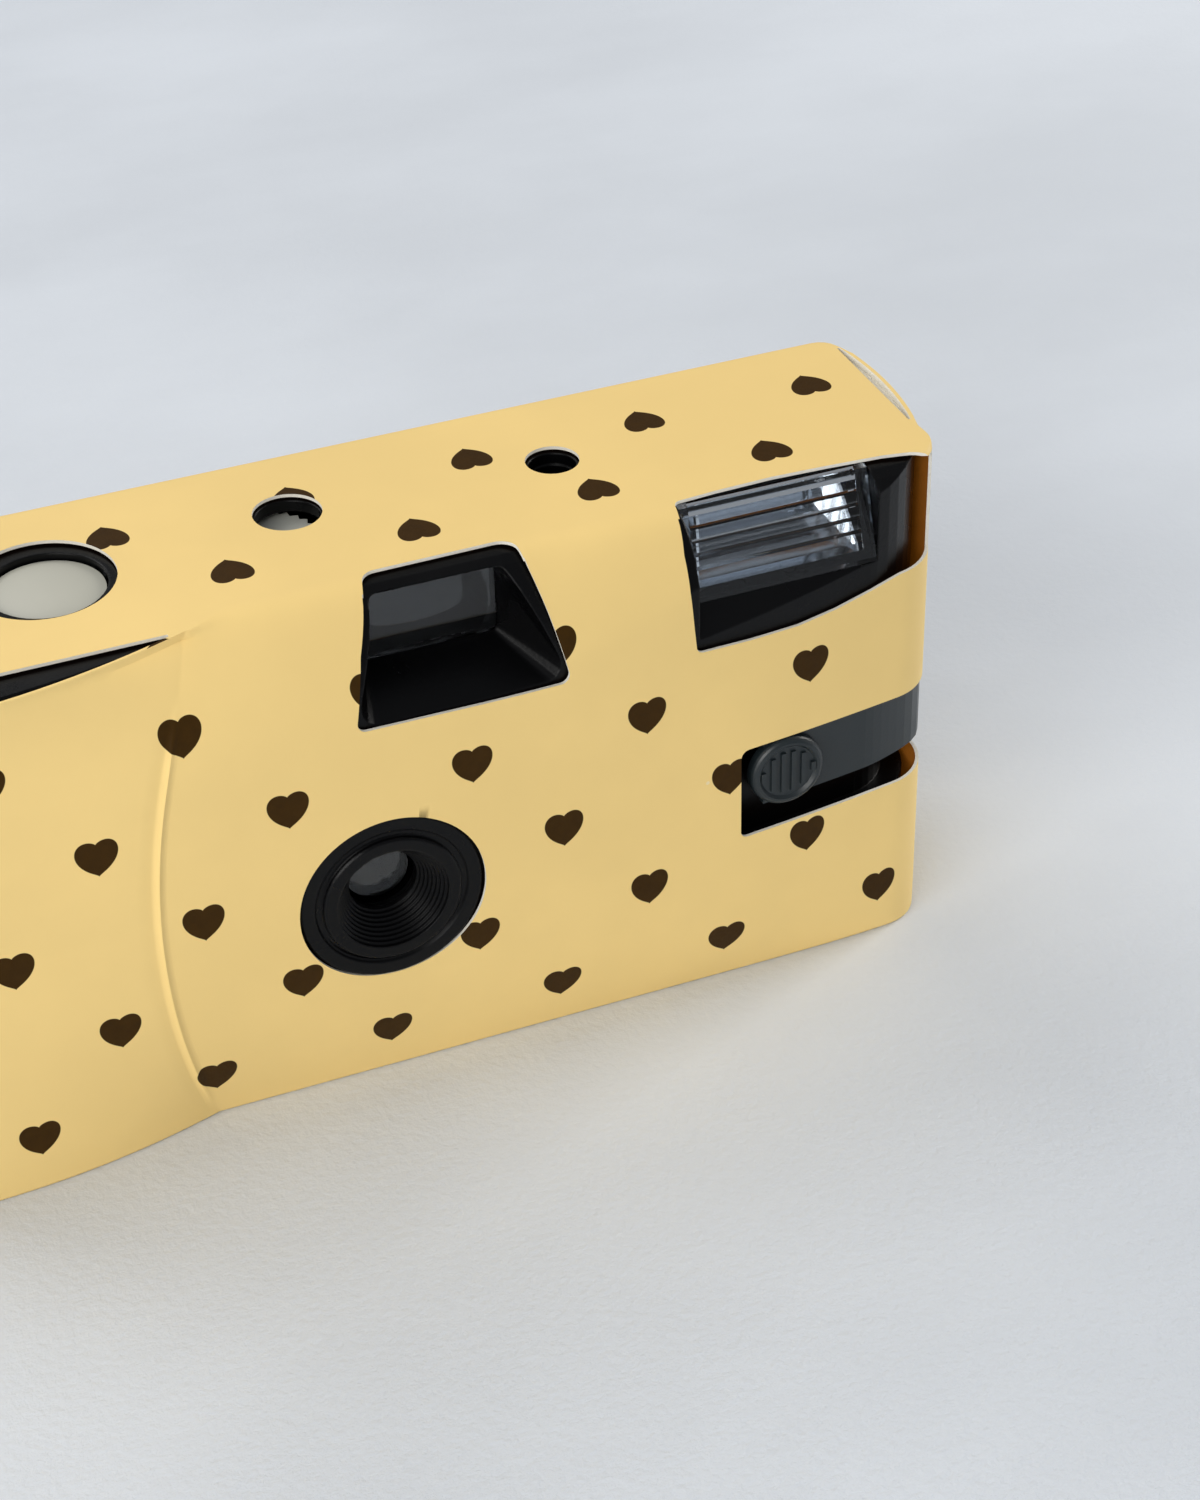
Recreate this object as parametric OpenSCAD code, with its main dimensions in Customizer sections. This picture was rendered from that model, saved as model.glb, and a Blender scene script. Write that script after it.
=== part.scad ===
// Disposable film camera: a card-wrapped plastic camera with a flash.
// Millimetres. X runs along the body, the front faces -Y, Z is up, and the base stands on z = 0.
// Inside the modules y is measured from the foremost plane of the front; place() centres it.

/* [Card sleeve] */
// Width of the card sleeve
sleeve_w = 114; // [113:0.5:122]
// Height of the card sleeve
sleeve_h = 57.4; // [57.2:0.2:62]
// Depth of the card sleeve
sleeve_d = 31.9; // [31.7:0.1:35]
// Thickness of the card
card_t = 0.45; // [0.3:0.05:0.5]
// Room between the card and the moulded covers
card_gap = 0.15; // [0.1:0.05:0.25]
// Height of the rolled upper front
roll_top_h = 14.7; // [12:0.5:17]
// How far the upper roll runs back at the top
roll_top_d = 7.1; // [6:0.1:8]
// Height of the rolled lower front
roll_low_h = 25.7; // [20:0.5:28]
// How far the lower roll runs back at the base
roll_low_d = 4.9; // [3:0.1:6]
// How far the front falls back towards the flash end
front_recede = 3.3; // [2:0.1:4]
// Radius of the front corner at the flash end
flash_corner_r = 10; // [8:0.5:11]
// Radius of the front corner at the grip end
grip_corner_r = 9; // [7:0.5:11]
// Radius of the back corners
back_corner_r = 2.5; // [2:0.1:3]

/* [Grip] */
// Place of the grip crease at mid height
crease_x = -27.4; // [-29:0.1:-26]
// How far the crease swings towards the lens at the top and base
crease_bow = 6.6; // [4:0.1:7]
// Height of the point of the crease nearest the grip end
crease_z = 26; // [24:0.5:30]
// How far the grip edge lies behind the front at the top and base
grip_edge_d = 0.6; // [0.3:0.1:1]

/* [Covers] */
// Wall of the moulded covers
wall = 1.2; // [1:0.05:1.3]
// Depth of the back cover, inside
rear_tray = 4.1; // [3.8:0.1:4.5]

/* [Lens] */
// Lens axis, from the middle of the body
lens_x = -4.36; // [-5:0.1:-4]
// Radius of the lens ring
ring_r = 9.4; // [9:0.1:10]
// Radius of the mouth of the lens well
well_r = 5.7; // [5.5:0.1:5.8]
// Number of steps in the lens well
well_steps = 8; // [4:1:9]
// Radius of the taking lens
lens_r = 3.7; // [3.5:0.1:3.9]
// Depth of the lens behind the front
lens_depth = 4.2; // [4:0.1:4.4]

/* [Viewfinder] */
// Middle of the viewfinder
finder_x = 3.2; // [2.5:0.1:3.6]
// Width of the viewfinder's front lens
finder_w = 14.6; // [13:0.2:15]
// Height of the viewfinder's front lens
finder_h = 7.8; // [7:0.1:8]
// Height of the eyepiece lens
eyepiece_h = 5.2; // [4.6:0.1:5.4]
// Width of the eyepiece lens
eyepiece_w = 8; // [7:0.5:9]

/* [Flash] */
// Distance of the flash's inner edge from the flash end
flash_in = 28; // [27:0.5:28.5]
// Width of the flash lens
flash_w = 20; // [18:0.5:20.5]
// Number of ribs on the flash lens
flash_ribs = 7; // [5:1:9]
// Radius of the flash tube
tube_r = 1.2; // [0.9:0.1:1.2]

/* [Flash lever] */
// Distance of the knob from the flash end
knob_in = 18.3; // [18:0.1:18.7]
// Height of the knob's middle
knob_z = 26.25; // [25.8:0.05:26.6]
// Radius of the knob
knob_r = 4.05; // [3.6:0.05:4.1]
// Rounding of the knob's rim
knob_round = 0.8; // [0.4:0.1:1]
// How far the knob stands out of the arm
knob_h = 1.1; // [0.9:0.1:1.4]
// Travel of the knob when pressed
knob_travel = 1; // [0.6:0.1:1]

/* [Top] */
// Distance of the release button from the film cartridge's axis
button_in = 8.2; // [8:0.1:8.5]
// Distance of the button from the parting line of the covers
button_back = 7.6; // [7:0.1:8]
// Radius of the button
button_r = 5.5; // [5:0.1:5.7]
// Travel of the button
button_travel = 1.5; // [1:0.1:1.6]
// Distance of the counter window from the film sprocket
counter_in = 11.46; // [11:0.1:12]
// Distance of the counter window from the parting line
counter_back = 5; // [4.5:0.1:5.5]
// Radius of the counter window in the card
counter_r = 3.4; // [3:0.1:3.5]
// Distance of the ready light from the unexposed roll's axis
ready_in = 8.1; // [7.8:0.1:8.6]
// Distance of the ready light from the parting line
ready_back = 6.1; // [5.5:0.1:6.5]
// Radius of the ready light's hole in the card
ready_r = 2.7; // [2.5:0.1:3]

/* [Film and battery] */
// Depth in front of the film cartridge
cart_front = 4.9; // [4.8:0.1:5.4]
// Height that the wheel, the deck and the walls take over and under the cartridge
cart_head = 14.8; // [14.4:0.1:15.4]
// Height of the cartridge's lower end over the floor
cart_base = 1.64; // [1.5:0.1:1.9]
// Length of the cartridge beyond the width of the film
film_spare = 7.6; // [7.6:0.1:8]
// Thickness of the film
film_t = 0.2; // [0.14:0.02:0.24]
// Edge of the film beside the picture, with its perforations
film_edge = 5.5; // [5.5:0.1:6.5]
// Distance of the picture from the cartridge's lip
gate_lip = 3.14; // [3.1:0.1:4]
// Distance of the picture from the unexposed roll's chamber
gate_gap = 5.36; // [5.3:0.1:6]
// Room between the unexposed roll's chamber and the battery
supply_in = 1.5; // [1.4:0.1:2]
// Room between the flash board and the unexposed roll's chamber
supply_gap = 1.41; // [1.35:0.01:2]
// How far the thumb wheel stands out of the back
wheel_proud = 0.4; // [0.3:0.05:0.5]
// Height of the thumb wheel
wheel_h = 3.6; // [3:0.1:3.7]
// Grooves round the thumb wheel
wheel_grooves = 60; // [40:1:72]
// Depth in front of the battery
cell_front = 14.9; // [14.9:0.1:15.5]
// Room between the battery and the back
cell_back = 1; // [0.9:0.1:1.2]
// Room over the battery
cell_head = 2.2; // [1.6:0.1:2.6]

/* [Hidden] */
$fn = 64;
// Small overlap for clean cuts
eps = 0.05;
// Running clearance of a pivot on its post, on the radius
run = 0.05;
// Clearance between a fixed piece and its seat
seat = 0.1;
// Clearance between pieces that move past each other
clear = 0.3;
// Inset of the outside and of the inside of the moulded covers
skin_in = card_t + card_gap;
cavity_in = skin_in + wall;
half_w = sleeve_w / 2;
total_d = sleeve_d + wheel_proud;
cavity_x = half_w - cavity_in;
cavity_top = sleeve_h - cavity_in;
cavity_back = sleeve_d - cavity_in;
skin_top = sleeve_h - skin_in;
parting_y = cavity_back - rear_tray;
flash_x = half_w - flash_in;
knob_x = half_w - knob_in;
button_y = parting_y - button_back;
counter_y = parting_y - counter_back;
ready_y = parting_y - ready_back;
// Front form: how far the roll runs back at a height, and the path of the grip crease
roll_top_z = sleeve_h - roll_top_h;
recede_x = half_w - flash_corner_r - 1;
corner_tilt = atan(2 * front_recede / recede_x);
corner_x = half_w - flash_corner_r;
corner_start_x = corner_x + flash_corner_r * sin(corner_tilt);
corner_y = plan_y(corner_start_x) + flash_corner_r * cos(corner_tilt);
grip_x = -(half_w - grip_corner_r);
slit_y = 4.65;
function plan_y(x) = x < 0 ? 0 : front_recede * pow(x / recede_x, 2);
function roll_y(z) = z > roll_top_z
    ? roll_top_d * (1 - sqrt(max(0, 1 - pow((z - roll_top_z) / roll_top_h, 2))))
    : z < roll_low_h ? roll_low_d * pow(1 - z / roll_low_h, 2) : 0;
function crease_at(z) = crease_x + crease_bow * pow((z - crease_z) / (sleeve_h - crease_z), 2);
function grip_edge(z) = grip_edge_d * pow(abs(2 * z / sleeve_h - 1), 4);
function grip_y(x, z) = grip_edge(z)
    + (min(roll_y(z), slit_y) - grip_edge(z)) * pow((x - grip_x) / (crease_at(z) - grip_x), 2);
function arc(cx, cy, r, a0, a1, n = 8) =
    [for (k = [0 : n]) let (a = a0 + (a1 - a0) * k / n) [cx + r * cos(a), cy + r * sin(a)]];
// Corner of a polygon rounded by an arc of radius r
function rounded_corner(a, b, c, r, n = 5) =
    let (u = (a - b) / norm(a - b), v = (c - b) / norm(c - b))
    let (half = acos(u * v) / 2, reach = r / tan(half))
    let (mid = b + (u + v) / norm(u + v) * r / sin(half))
    let (p = b + u * reach - mid, q = b + v * reach - mid)
    [for (k = [0 : n]) let (s = p + (q - p) * k / n) mid + s / norm(s) * r];
function rounded(pts, r) = let (m = len(pts))
    [for (i = [0 : m - 1]) each rounded_corner(pts[(i + m - 1) % m], pts[i], pts[(i + 1) % m], r)];
function box_pts(x0, y0, x1, y1) = [[x0, y0], [x1, y0], [x1, y1], [x0, y1]];

// Moves a piece from front-based y to the middle of the depth
module place() translate([0, -total_d / 2, 0]) children();
// A flat outline in x and z, pushed along y
module along_y(y0, y1) translate([0, y1, 0]) rotate([90, 0, 0]) linear_extrude(y1 - y0) children();
// A flat outline in y and z, pushed along x
module along_x(x0, x1) translate([x0, 0, 0]) rotate([90, 0, 90]) linear_extrude(x1 - x0) children();
// A round bar or bore along y, or along z
module rod_y(x, z, r, y0, y1) translate([x, y1, z]) rotate([90, 0, 0]) cylinder(h = y1 - y0, r = r);
module rod_z(x, y, r, z0, z1) translate([x, y, z0]) cylinder(h = z1 - z0, r = r);
// A block from corner to corner
module block(x0, y0, z0, x1, y1, z1) translate([x0, y0, z0]) cube([x1 - x0, y1 - y0, z1 - z0]);

// Plan of the body: grip corner, receding front, flash corner and the back corners
module plan_form(inset) {
    front = [for (k = [0 : 8]) let (x = corner_start_x * k / 8) [x, plan_y(x) + inset]];
    back_r = max(eps, back_corner_r - inset);
    side_x = half_w - inset - back_r;
    back_y = sleeve_d - inset - back_r;
    linear_extrude(sleeve_h) polygon(concat(
        arc(grip_x, grip_corner_r, grip_corner_r - inset, 180, 270),
        front,
        arc(corner_x, corner_y, flash_corner_r - inset, corner_tilt - 85, 0, 9),
        arc(side_x, back_y, back_r, 0, 90, 4),
        arc(-side_x, back_y, back_r, 90, 180, 4)));
}

// Side profile of the body: the lower roll, the flat front and the upper roll
module profile_form(inset) {
    low = [for (k = [0 : 6]) [roll_low_d * pow(1 - k / 6, 2) + inset, inset + (roll_low_h - inset) * k / 6]];
    top = [for (a = [0 : 9 : 90])
        [roll_top_d * (1 - cos(a)) + inset, roll_top_z + (roll_top_h - inset) * sin(a)]];
    behind = sleeve_d + 1;
    along_x(-half_w, half_w) polygon(concat(low, top, [[behind, sleeve_h - inset], [behind, inset]]));
}

// Grip bulge over the film cartridge, lofted through its level outlines
module grip_form(inset) {
    levels = 8;
    hull() for (k = [0 : levels]) {
        z = sleeve_h * k / levels;
        c = crease_at(z);
        front = [for (i = [0 : 5]) let (x = grip_x + (c - grip_x) * i / 5) [x, grip_y(x, z) + inset]];
        edge = grip_y(grip_x, z);
        corner = arc(grip_x, grip_corner_r + edge, grip_corner_r - inset, 180, 262, 5);
        translate([0, 0, inset + (sleeve_h - 2 * inset - eps) * k / levels])
            linear_extrude(eps)
                polygon(concat(corner, front, [[c, sleeve_d / 2], [inset - half_w, sleeve_d / 2]]));
    }
}

// Right part of the body, without the grip
module trunk_form(inset) intersection() {
    plan_form(inset);
    profile_form(inset);
}

// Whole body
module body_form(inset) {
    trunk_form(inset);
    grip_form(inset);
}
// Windows and slots that the card and the covers share
finder_z = cavity_top - finder_h / 2 - 0.4;
finder_lens_y = roll_top_d + 0.5;
finder_lens_t = 1.2;
window_low_z = sleeve_h - 12.4;
window_top_z = sleeve_h + 1;
// Reach of the viewfinder window left and right of its middle, at its base and at its top
window_base = [9.8, 11.7];
window_head = [5.5, 7.5];
window_pts = [[finder_x + window_base[1], window_low_z], [finder_x + window_head[1], window_top_z],
    [finder_x - window_head[0], window_top_z], [finder_x - window_base[0], window_low_z]];
window_round = 1.6;
flash_low_z = sleeve_h - 13.2;
flash_pts = [[half_w, flash_low_z], [half_w, window_top_z],
    [flash_x + 0.1, window_top_z], [flash_x - 0.7, flash_low_z]];
slot_x = knob_x - 5.2;
slot_z0 = knob_z - 6.5;
slot_z1 = knob_z + knob_r + card_gap;
slot_end_y = corner_y;
arm_z0 = knob_z - 3.75;
arm_z1 = slot_z1 - clear;
eyepiece_z = cavity_top - eyepiece_h / 2 - 0.4;
wheel_reach = 12;
module eyepiece_outline(grow) polygon(rounded(box_pts(
    finder_x - eyepiece_w / 2 - grow, eyepiece_z - eyepiece_h / 2 - grow,
    finder_x + eyepiece_w / 2 + grow, eyepiece_z + eyepiece_h / 2 + grow), 0.9));

// Lever pocket and flash board
pocket_in = skin_in + 2.4;
pocket_wall = 0.7;
pocket_x = slot_x - 1.8;
pocket_z0 = slot_z0 - 2;
pocket_z1 = slot_z1 + 2.4;
hinge_x = half_w - skin_in - 1.1;
hinge_y = corner_y + 1.6;
hinge_r = 0.5;
barrel_r = 1;
pocket_y1 = hinge_y + 1.5;
board_y0 = plan_y(knob_x) + pocket_in + pocket_wall + 0.55;
board_t = 1;
board_y1 = board_y0 + board_t;
board_x1 = corner_x - 3.6;

// Film cartridge, unexposed roll and battery, taken from the walls round them
film_y = cavity_back - 2.2;
cart_fit = 0.2;
cart_r = (cavity_back - cart_fit - cart_front) / 2;
cart_y = cavity_back - cart_fit - cart_r;
cart_x = -(cavity_x - cart_r - 4.2);
cart_h = sleeve_h - cart_head;
cart_z0 = cavity_in + cart_base;
cart_z1 = cart_z0 + cart_h;
lens_z = (cart_z0 + cart_z1) / 2;
film_w = cart_h - film_spare;
film_z0 = lens_z - film_w / 2;
film_z1 = lens_z + film_w / 2;
button_x = cart_x + button_in;
wheel_z0 = cart_z1 + 0.8;
wheel_z1 = wheel_z0 + wheel_h;
wheel_r = total_d - cart_y;
wheel_hub_r = 5;
cell_r = (cavity_back - cell_back - cell_front) / 2;
cell_x = cavity_x - cell_r - 0.5;
cell_y = cavity_back - cell_r - cell_back;
cell_z0 = cavity_in + 1.6;
cell_z1 = cavity_top - cell_head;
supply_room = 0.7;
supply_wall = 0.8;
roll_back_y = film_y - film_t / 2 - clear;
roll_r = (roll_back_y - board_y1 - supply_gap - supply_room - supply_wall) / 2;
supply_r = roll_r + supply_room;
supply_wall_r = supply_r + supply_wall;
supply_x = cell_x - cell_r - supply_in - supply_wall_r;
supply_y = roll_back_y - roll_r;
ready_x = supply_x - ready_in;
lip_x = cart_x + cart_r + 0.5;
gate_w = 2 * min(lens_x - lip_x - gate_lip, supply_x - supply_wall_r - gate_gap - lens_x);
gate_h = film_w - 2 * film_edge;

// Chassis levels
retainer_l = 3.9;
deck_z0 = cart_z1 - 0.4;
deck_z1 = deck_z0 + 1;
plate_y0 = lens_depth + retainer_l + 1.1;
plate_y1 = plate_y0 + 1;
gate_y1 = film_y - film_t / 2 - seat;
gate_y0 = gate_y1 - 1.2;
gate_x0 = lens_x - gate_w / 2;
gate_x1 = lens_x + gate_w / 2;
plate_x0 = lens_x - 12.6;
plate_x1 = lens_x + 16.4;
plate_z0 = lens_z - 10.7;
chamber_r = cart_r + 0.5;
chamber_wall_r = chamber_r + 1;

// Pivots of the shutter mechanism, from the lens axis
post_r = 1.2;
blade_px = lens_x + 9.4;
striker_px = lens_x + 2.4;
striker_pz = deck_z1 - 5.6;
release_px = lens_x - 8.6;
release_pz = deck_z1 - 3.6;
blade_pz = striker_pz - 11;
blade_y0 = plate_y0 - 0.8;
blade_y1 = blade_y0 + 0.4;
lever_y1 = blade_y0 - 0.5;
lever_y0 = lever_y1 - 1;
post_y0 = lever_y0 - 0.3;

// Sprocket and counter
sprocket_r = 6.05;
sprocket_x = gate_x0 + 4.9;
counter_x = sprocket_x + counter_in;
sprocket_y = film_y - film_t / 2 - clear - sprocket_r - 0.1;
sprocket_z0 = lens_z + gate_h / 2 + 1.7;
sprocket_z1 = sprocket_z0 + 3.2;
shaft_r = 1.5;
dial_r = 6;
dial_x = counter_x - 3;
dial_y = counter_y - 0.4;
dial_z1 = cavity_top - 0.7;
dial_z0 = dial_z1 - 1.2;
finger_r = norm([dial_x - sprocket_x, dial_y - sprocket_y]) - dial_r - 0.4;

// Flash unit
flash_y0 = 4.2;
flash_y1 = roll_top_d + 0.1;
flash_z0 = sleeve_h - 9.8;
flash_z1 = skin_top - 0.1;
flash_t = 1.4;
tube_y = flash_y1 + flash_t + 2.6;
tube_z = (flash_z0 + cavity_top) / 2;
board_x0 = plate_x1 + 1.4;

// Printed card wrap with its cut-outs
module card_sleeve() color([0.92, 0.8, 0.56]) place() difference() {
    body_form(0);
    body_form(card_t);
    grip_slit();
    rod_y(lens_x, lens_z, ring_r + card_gap, -eps, flash_corner_r);
    along_y(-eps, roll_top_d) polygon(rounded(window_pts, window_round));
    along_y(-eps, roll_top_d) polygon(rounded(flash_pts, 0.8));
    along_y(-eps, slot_end_y) polygon(rounded(box_pts(slot_x, slot_z0, half_w + 9, slot_z1), 0.8));
    rod_z(button_x, button_y, button_r + 0.7, cavity_top, sleeve_h + eps);
    rod_z(counter_x, counter_y, counter_r, cavity_top, sleeve_h + eps);
    rod_z(ready_x, ready_y, ready_r, cavity_top, sleeve_h + eps);
    along_y(cavity_back, sleeve_d + eps) eyepiece_outline(0.6);
    along_y(cavity_back, sleeve_d + eps) polygon(rounded(box_pts(cart_x - wheel_reach,
        wheel_z0 - 3, cart_x + wheel_reach, wheel_z1 + 2), 2));
}

// Gap between the top panel and the upper edge of the grip panel
module grip_slit() {
    z = sleeve_h;
    start_x = crease_at(z) - 1.6;
    far_x = grip_x - grip_corner_r / 2;
    edge = [for (i = [0 : 6]) let (x = start_x + (grip_x - start_x) * i / 6) [x, grip_y(x, z) + card_t]];
    translate([0, 0, cavity_top]) linear_extrude(cavity_in + eps)
        polygon(concat(edge, [[far_x, slit_y], [start_x, slit_y + 0.1]]));
}

// Lens ring: a flange flush in the card, a two-step groove, a raised face and the stepped well
flange_y = card_t;
face_y = 0.05;
face_r = 0.755 * ring_r;
groove_r = 0.84 * ring_r;
ring_chamfer = 0.2;
ring_back = cavity_in;
stop_r = lens_r - 0.2;
well_y0 = 0.5;
well_y1 = lens_depth - 0.4;
module lens_ring() translate([lens_x, 0, lens_z]) rotate([-90, 0, 0]) rotate_extrude() polygon([
    [0, face_y], [face_r - ring_chamfer, face_y], [face_r, face_y + ring_chamfer],
    [face_r, flange_y + 0.45], [(face_r + groove_r) / 2, flange_y + 0.45],
    [(face_r + groove_r) / 2, flange_y + 0.25], [groove_r - ring_chamfer, flange_y + 0.25],
    [groove_r, flange_y], [ring_r - ring_chamfer, flange_y], [ring_r, flange_y + ring_chamfer],
    [ring_r, ring_back], [0, ring_back]]);
module lens_well() translate([lens_x, 0, lens_z]) rotate([-90, 0, 0]) rotate_extrude() polygon(concat(
    [[0, -1], [well_r, -1]],
    [for (k = [0 : well_steps - 1]) let (s = k / well_steps, t = (k + 1) / well_steps) each [
        [well_r + (stop_r - well_r) * s, well_y0 + (well_y1 - well_y0) * s],
        [well_r + (stop_r - well_r) * t, well_y0 + (well_y1 - well_y0) * s]]],
    [[stop_r, lens_depth], [0, lens_depth]]));

// Funnel from the viewfinder window to its lens
funnel_lip = 0.5;
funnel_round = 0.7;
module finder_funnel() hull() {
    along_y(-1, skin_in) polygon(rounded(window_pts, window_round));
    along_y(finder_lens_y, finder_lens_y + eps) polygon(rounded(box_pts(
        finder_x - finder_w / 2 + funnel_lip, finder_z - finder_h / 2 + funnel_lip,
        finder_x + finder_w / 2 - funnel_lip, finder_z + finder_h / 2), funnel_round));
}

// Snap hooks of the back shell, over and under, and the room for their noses in the front shell
hook_x = [9 - half_w, supply_x - 5];
hook_w = 5;
hook_l = 3.2;
hook_t = 0.8;
nose_l = 1;
nose_h = 0.3;
module snap_pair(x, w, y0, y1, z0, z1) for (flip = [0, 1])
    translate([x, 0, flip ? sleeve_h : 0]) mirror([0, 0, flip]) block(0, y0, z0, w, y1, z1);
module snap_hook(x) {
    snap_pair(x, hook_w, parting_y - hook_l, parting_y + hook_l, cavity_in + seat, cavity_in + seat + hook_t);
    snap_pair(x, hook_w, parting_y + seat, parting_y + hook_l, cavity_in - eps, cavity_in + seat + eps);
    snap_pair(x, hook_w, parting_y - hook_l, parting_y - hook_l + nose_l,
        cavity_in - nose_h, cavity_in + seat + eps);
}
module snap_room(x) snap_pair(x - seat, hook_w + 2 * seat, parting_y - hook_l - seat,
    parting_y - hook_l + nose_l + seat, cavity_in - nose_h - seat, cavity_in + eps);

// Black front shell
hood_y = finder_lens_y + finder_lens_t + 0.4;
hood_wall = 1.6;
ready_tube = 4;
ready_rings = 4;
ring_drop = 0.15;
frame_wall = 1.1;
module front_cover() color([0.08, 0.08, 0.09]) place() difference() {
    union() {
        difference() {
            body_form(skin_in);
            body_form(cavity_in);
        }
        lens_ring();
        rod_y(lens_x, lens_z, well_r + wall, ring_back - eps, lens_depth - seat);
        intersection() {
            trunk_form(skin_in);
            union() {
                block(finder_x - window_base[0] - hood_wall, 0, window_low_z - hood_wall,
                    finder_x + window_base[1] + hood_wall, hood_y, skin_top);
                flash_frame();
                lever_pocket();
            }
        }
        rod_z(ready_x, ready_y, ready_r + 0.3, cavity_top - ready_tube, cavity_top + eps);
    }
    block(-half_w, parting_y, -1, half_w, sleeve_d + 1, sleeve_h + 1);
    lens_well();
    finder_funnel();
    block(finder_x - finder_w / 2 - seat, finder_lens_y - seat, finder_z - finder_h / 2 - seat,
        finder_x + finder_w / 2 + seat, hood_y + eps, finder_z + finder_h / 2 + seat);
    flash_opening();
    lever_room();
    rod_y(knob_x, knob_z, 1.8, 0, board_y0);
    rod_z(button_x, button_y, button_r + 0.25, cavity_top - eps, sleeve_h);
    rod_z(counter_x, counter_y, counter_r - 0.2, cavity_top - eps, sleeve_h);
    for (k = [0 : ready_rings])
        rod_z(ready_x, ready_y, ready_r - 0.3 - ring_drop * k,
            cavity_top - k * ready_tube / ready_rings - eps, sleeve_h);
    for (x = hook_x) snap_room(x);
}

// Bezel and end walls of the flash
flash_end_x = flash_x + flash_w;
bezel_t = 0.8;
bezel_y = flash_y1 + 0.2;
bezel_lip = 2;
module flash_frame() {
    along_x(flash_x - frame_wall, flash_end_x + frame_wall)
        polygon([[0, flash_low_z - bezel_t], [flash_y0, flash_low_z - bezel_t],
            [bezel_y, flash_z0 - bezel_t - seat], [bezel_y, flash_z0 - seat], [0, flash_z0 - seat]]);
    for (x = [flash_x - frame_wall - seat, flash_end_x + seat])
        block(x, 0, flash_low_z, x + frame_wall, flash_y1 + flash_t, skin_top);
}

// Opening in front of the flash lens, with the sloped bezel under it
module flash_opening() {
    along_x(flash_x - seat, flash_end_x + seat)
        polygon([[-1, flash_low_z + bezel_t], [bezel_lip, flash_low_z + bezel_t], [flash_y0, flash_z0 - seat],
            [flash_y0 + flash_t + seat, flash_z0 - seat], [flash_y1 + flash_t + seat, flash_z1],
            [flash_y1 + flash_t + seat, sleeve_h + 1], [-1, sleeve_h + 1]]);
}

// Walls of the lever pocket
module lever_pocket() difference() {
    block(pocket_x - frame_wall, 0, pocket_z0 - frame_wall,
        half_w, pocket_y1 + frame_wall, pocket_z1 + frame_wall);
    trunk_form(pocket_in + pocket_wall);
}

// Room for the lever inside its pocket, around the hinge pin
module lever_room() difference() {
    block(pocket_x, -1, pocket_z0, half_w + 1, pocket_y1, pocket_z1);
    trunk_form(pocket_in);
    rod_z(hinge_x, hinge_y, hinge_r, 0, sleeve_h);
}

// Black back shell with the eyepiece window, the wheel slot and the film pad
pad_y = film_y + film_t / 2 + 0.2;
module rear_cover() color([0.1, 0.1, 0.11]) place() difference() {
    union() {
        difference() {
            body_form(skin_in);
            body_form(cavity_in);
        }
        block(gate_x0, pad_y, film_z0 + 1, gate_x1, cavity_back + eps, film_z1 - 1);
        for (x = hook_x) snap_hook(x);
    }
    difference() {
        block(-half_w, -1, -1, half_w, parting_y, sleeve_h + 1);
        for (x = hook_x) snap_hook(x);
    }
    along_y(cavity_back - eps, sleeve_d) eyepiece_outline(-0.6);
    block(cart_x - wheel_r * 0.66, cavity_back - eps, wheel_z0 - 0.5,
        cart_x + wheel_r * 0.66, sleeve_d, wheel_z1 + 0.5);
}

// Clear lenses
lens_bulge = 0.7;
lens_edge = 0.9;
peg_r = 0.5;
peg_ring = lens_r + 1.4;
module taking_lens() color([0.8, 0.88, 0.92, 0.6]) place()
    translate([lens_x, lens_depth + lens_bulge, lens_z]) rotate([90, 0, 0]) rotate_extrude()
        polygon(concat([[0, -lens_edge], [lens_r, -lens_edge]],
            [for (k = [0 : 6]) [lens_r * (1 - k / 6), lens_bulge * (1 - pow(1 - k / 6, 2))]]));
module lens_retainer() color([0.15, 0.15, 0.16]) place() {
    difference() {
        rod_y(lens_x, lens_z, peg_ring + peg_r + 0.1, lens_depth, lens_depth + retainer_l);
        rod_y(lens_x, lens_z, lens_r + run, 0, lens_depth + 1.6);
        rod_y(lens_x, lens_z, lens_r - 0.6, 0, plate_y0);
    }
    for (a = [180, 250, 320]) translate([peg_ring * cos(a), 0, peg_ring * sin(a)])
        rod_y(lens_x, lens_z, peg_r, lens_depth + retainer_l - eps, plate_y0);
}
// Hollow of the viewfinder's front lens: radius and depth
dish_r = 26;
dish_d = 0.8;
module viewfinder_front_lens() color([0.8, 0.88, 0.92, 0.5]) place() difference() {
    block(finder_x - finder_w / 2, finder_lens_y, finder_z - finder_h / 2,
        finder_x + finder_w / 2, finder_lens_y + finder_lens_t, finder_z + finder_h / 2);
    translate([finder_x, finder_lens_y + finder_lens_t + dish_r - dish_d, finder_z])
        sphere(r = dish_r, $fn = 240);
}
module eyepiece_lens() color([0.8, 0.88, 0.92, 0.5]) place()
    block(finder_x - eyepiece_w / 2, cavity_back - 1.2, eyepiece_z - eyepiece_h / 2,
        finder_x + eyepiece_w / 2, cavity_back, eyepiece_z + eyepiece_h / 2);

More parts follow.
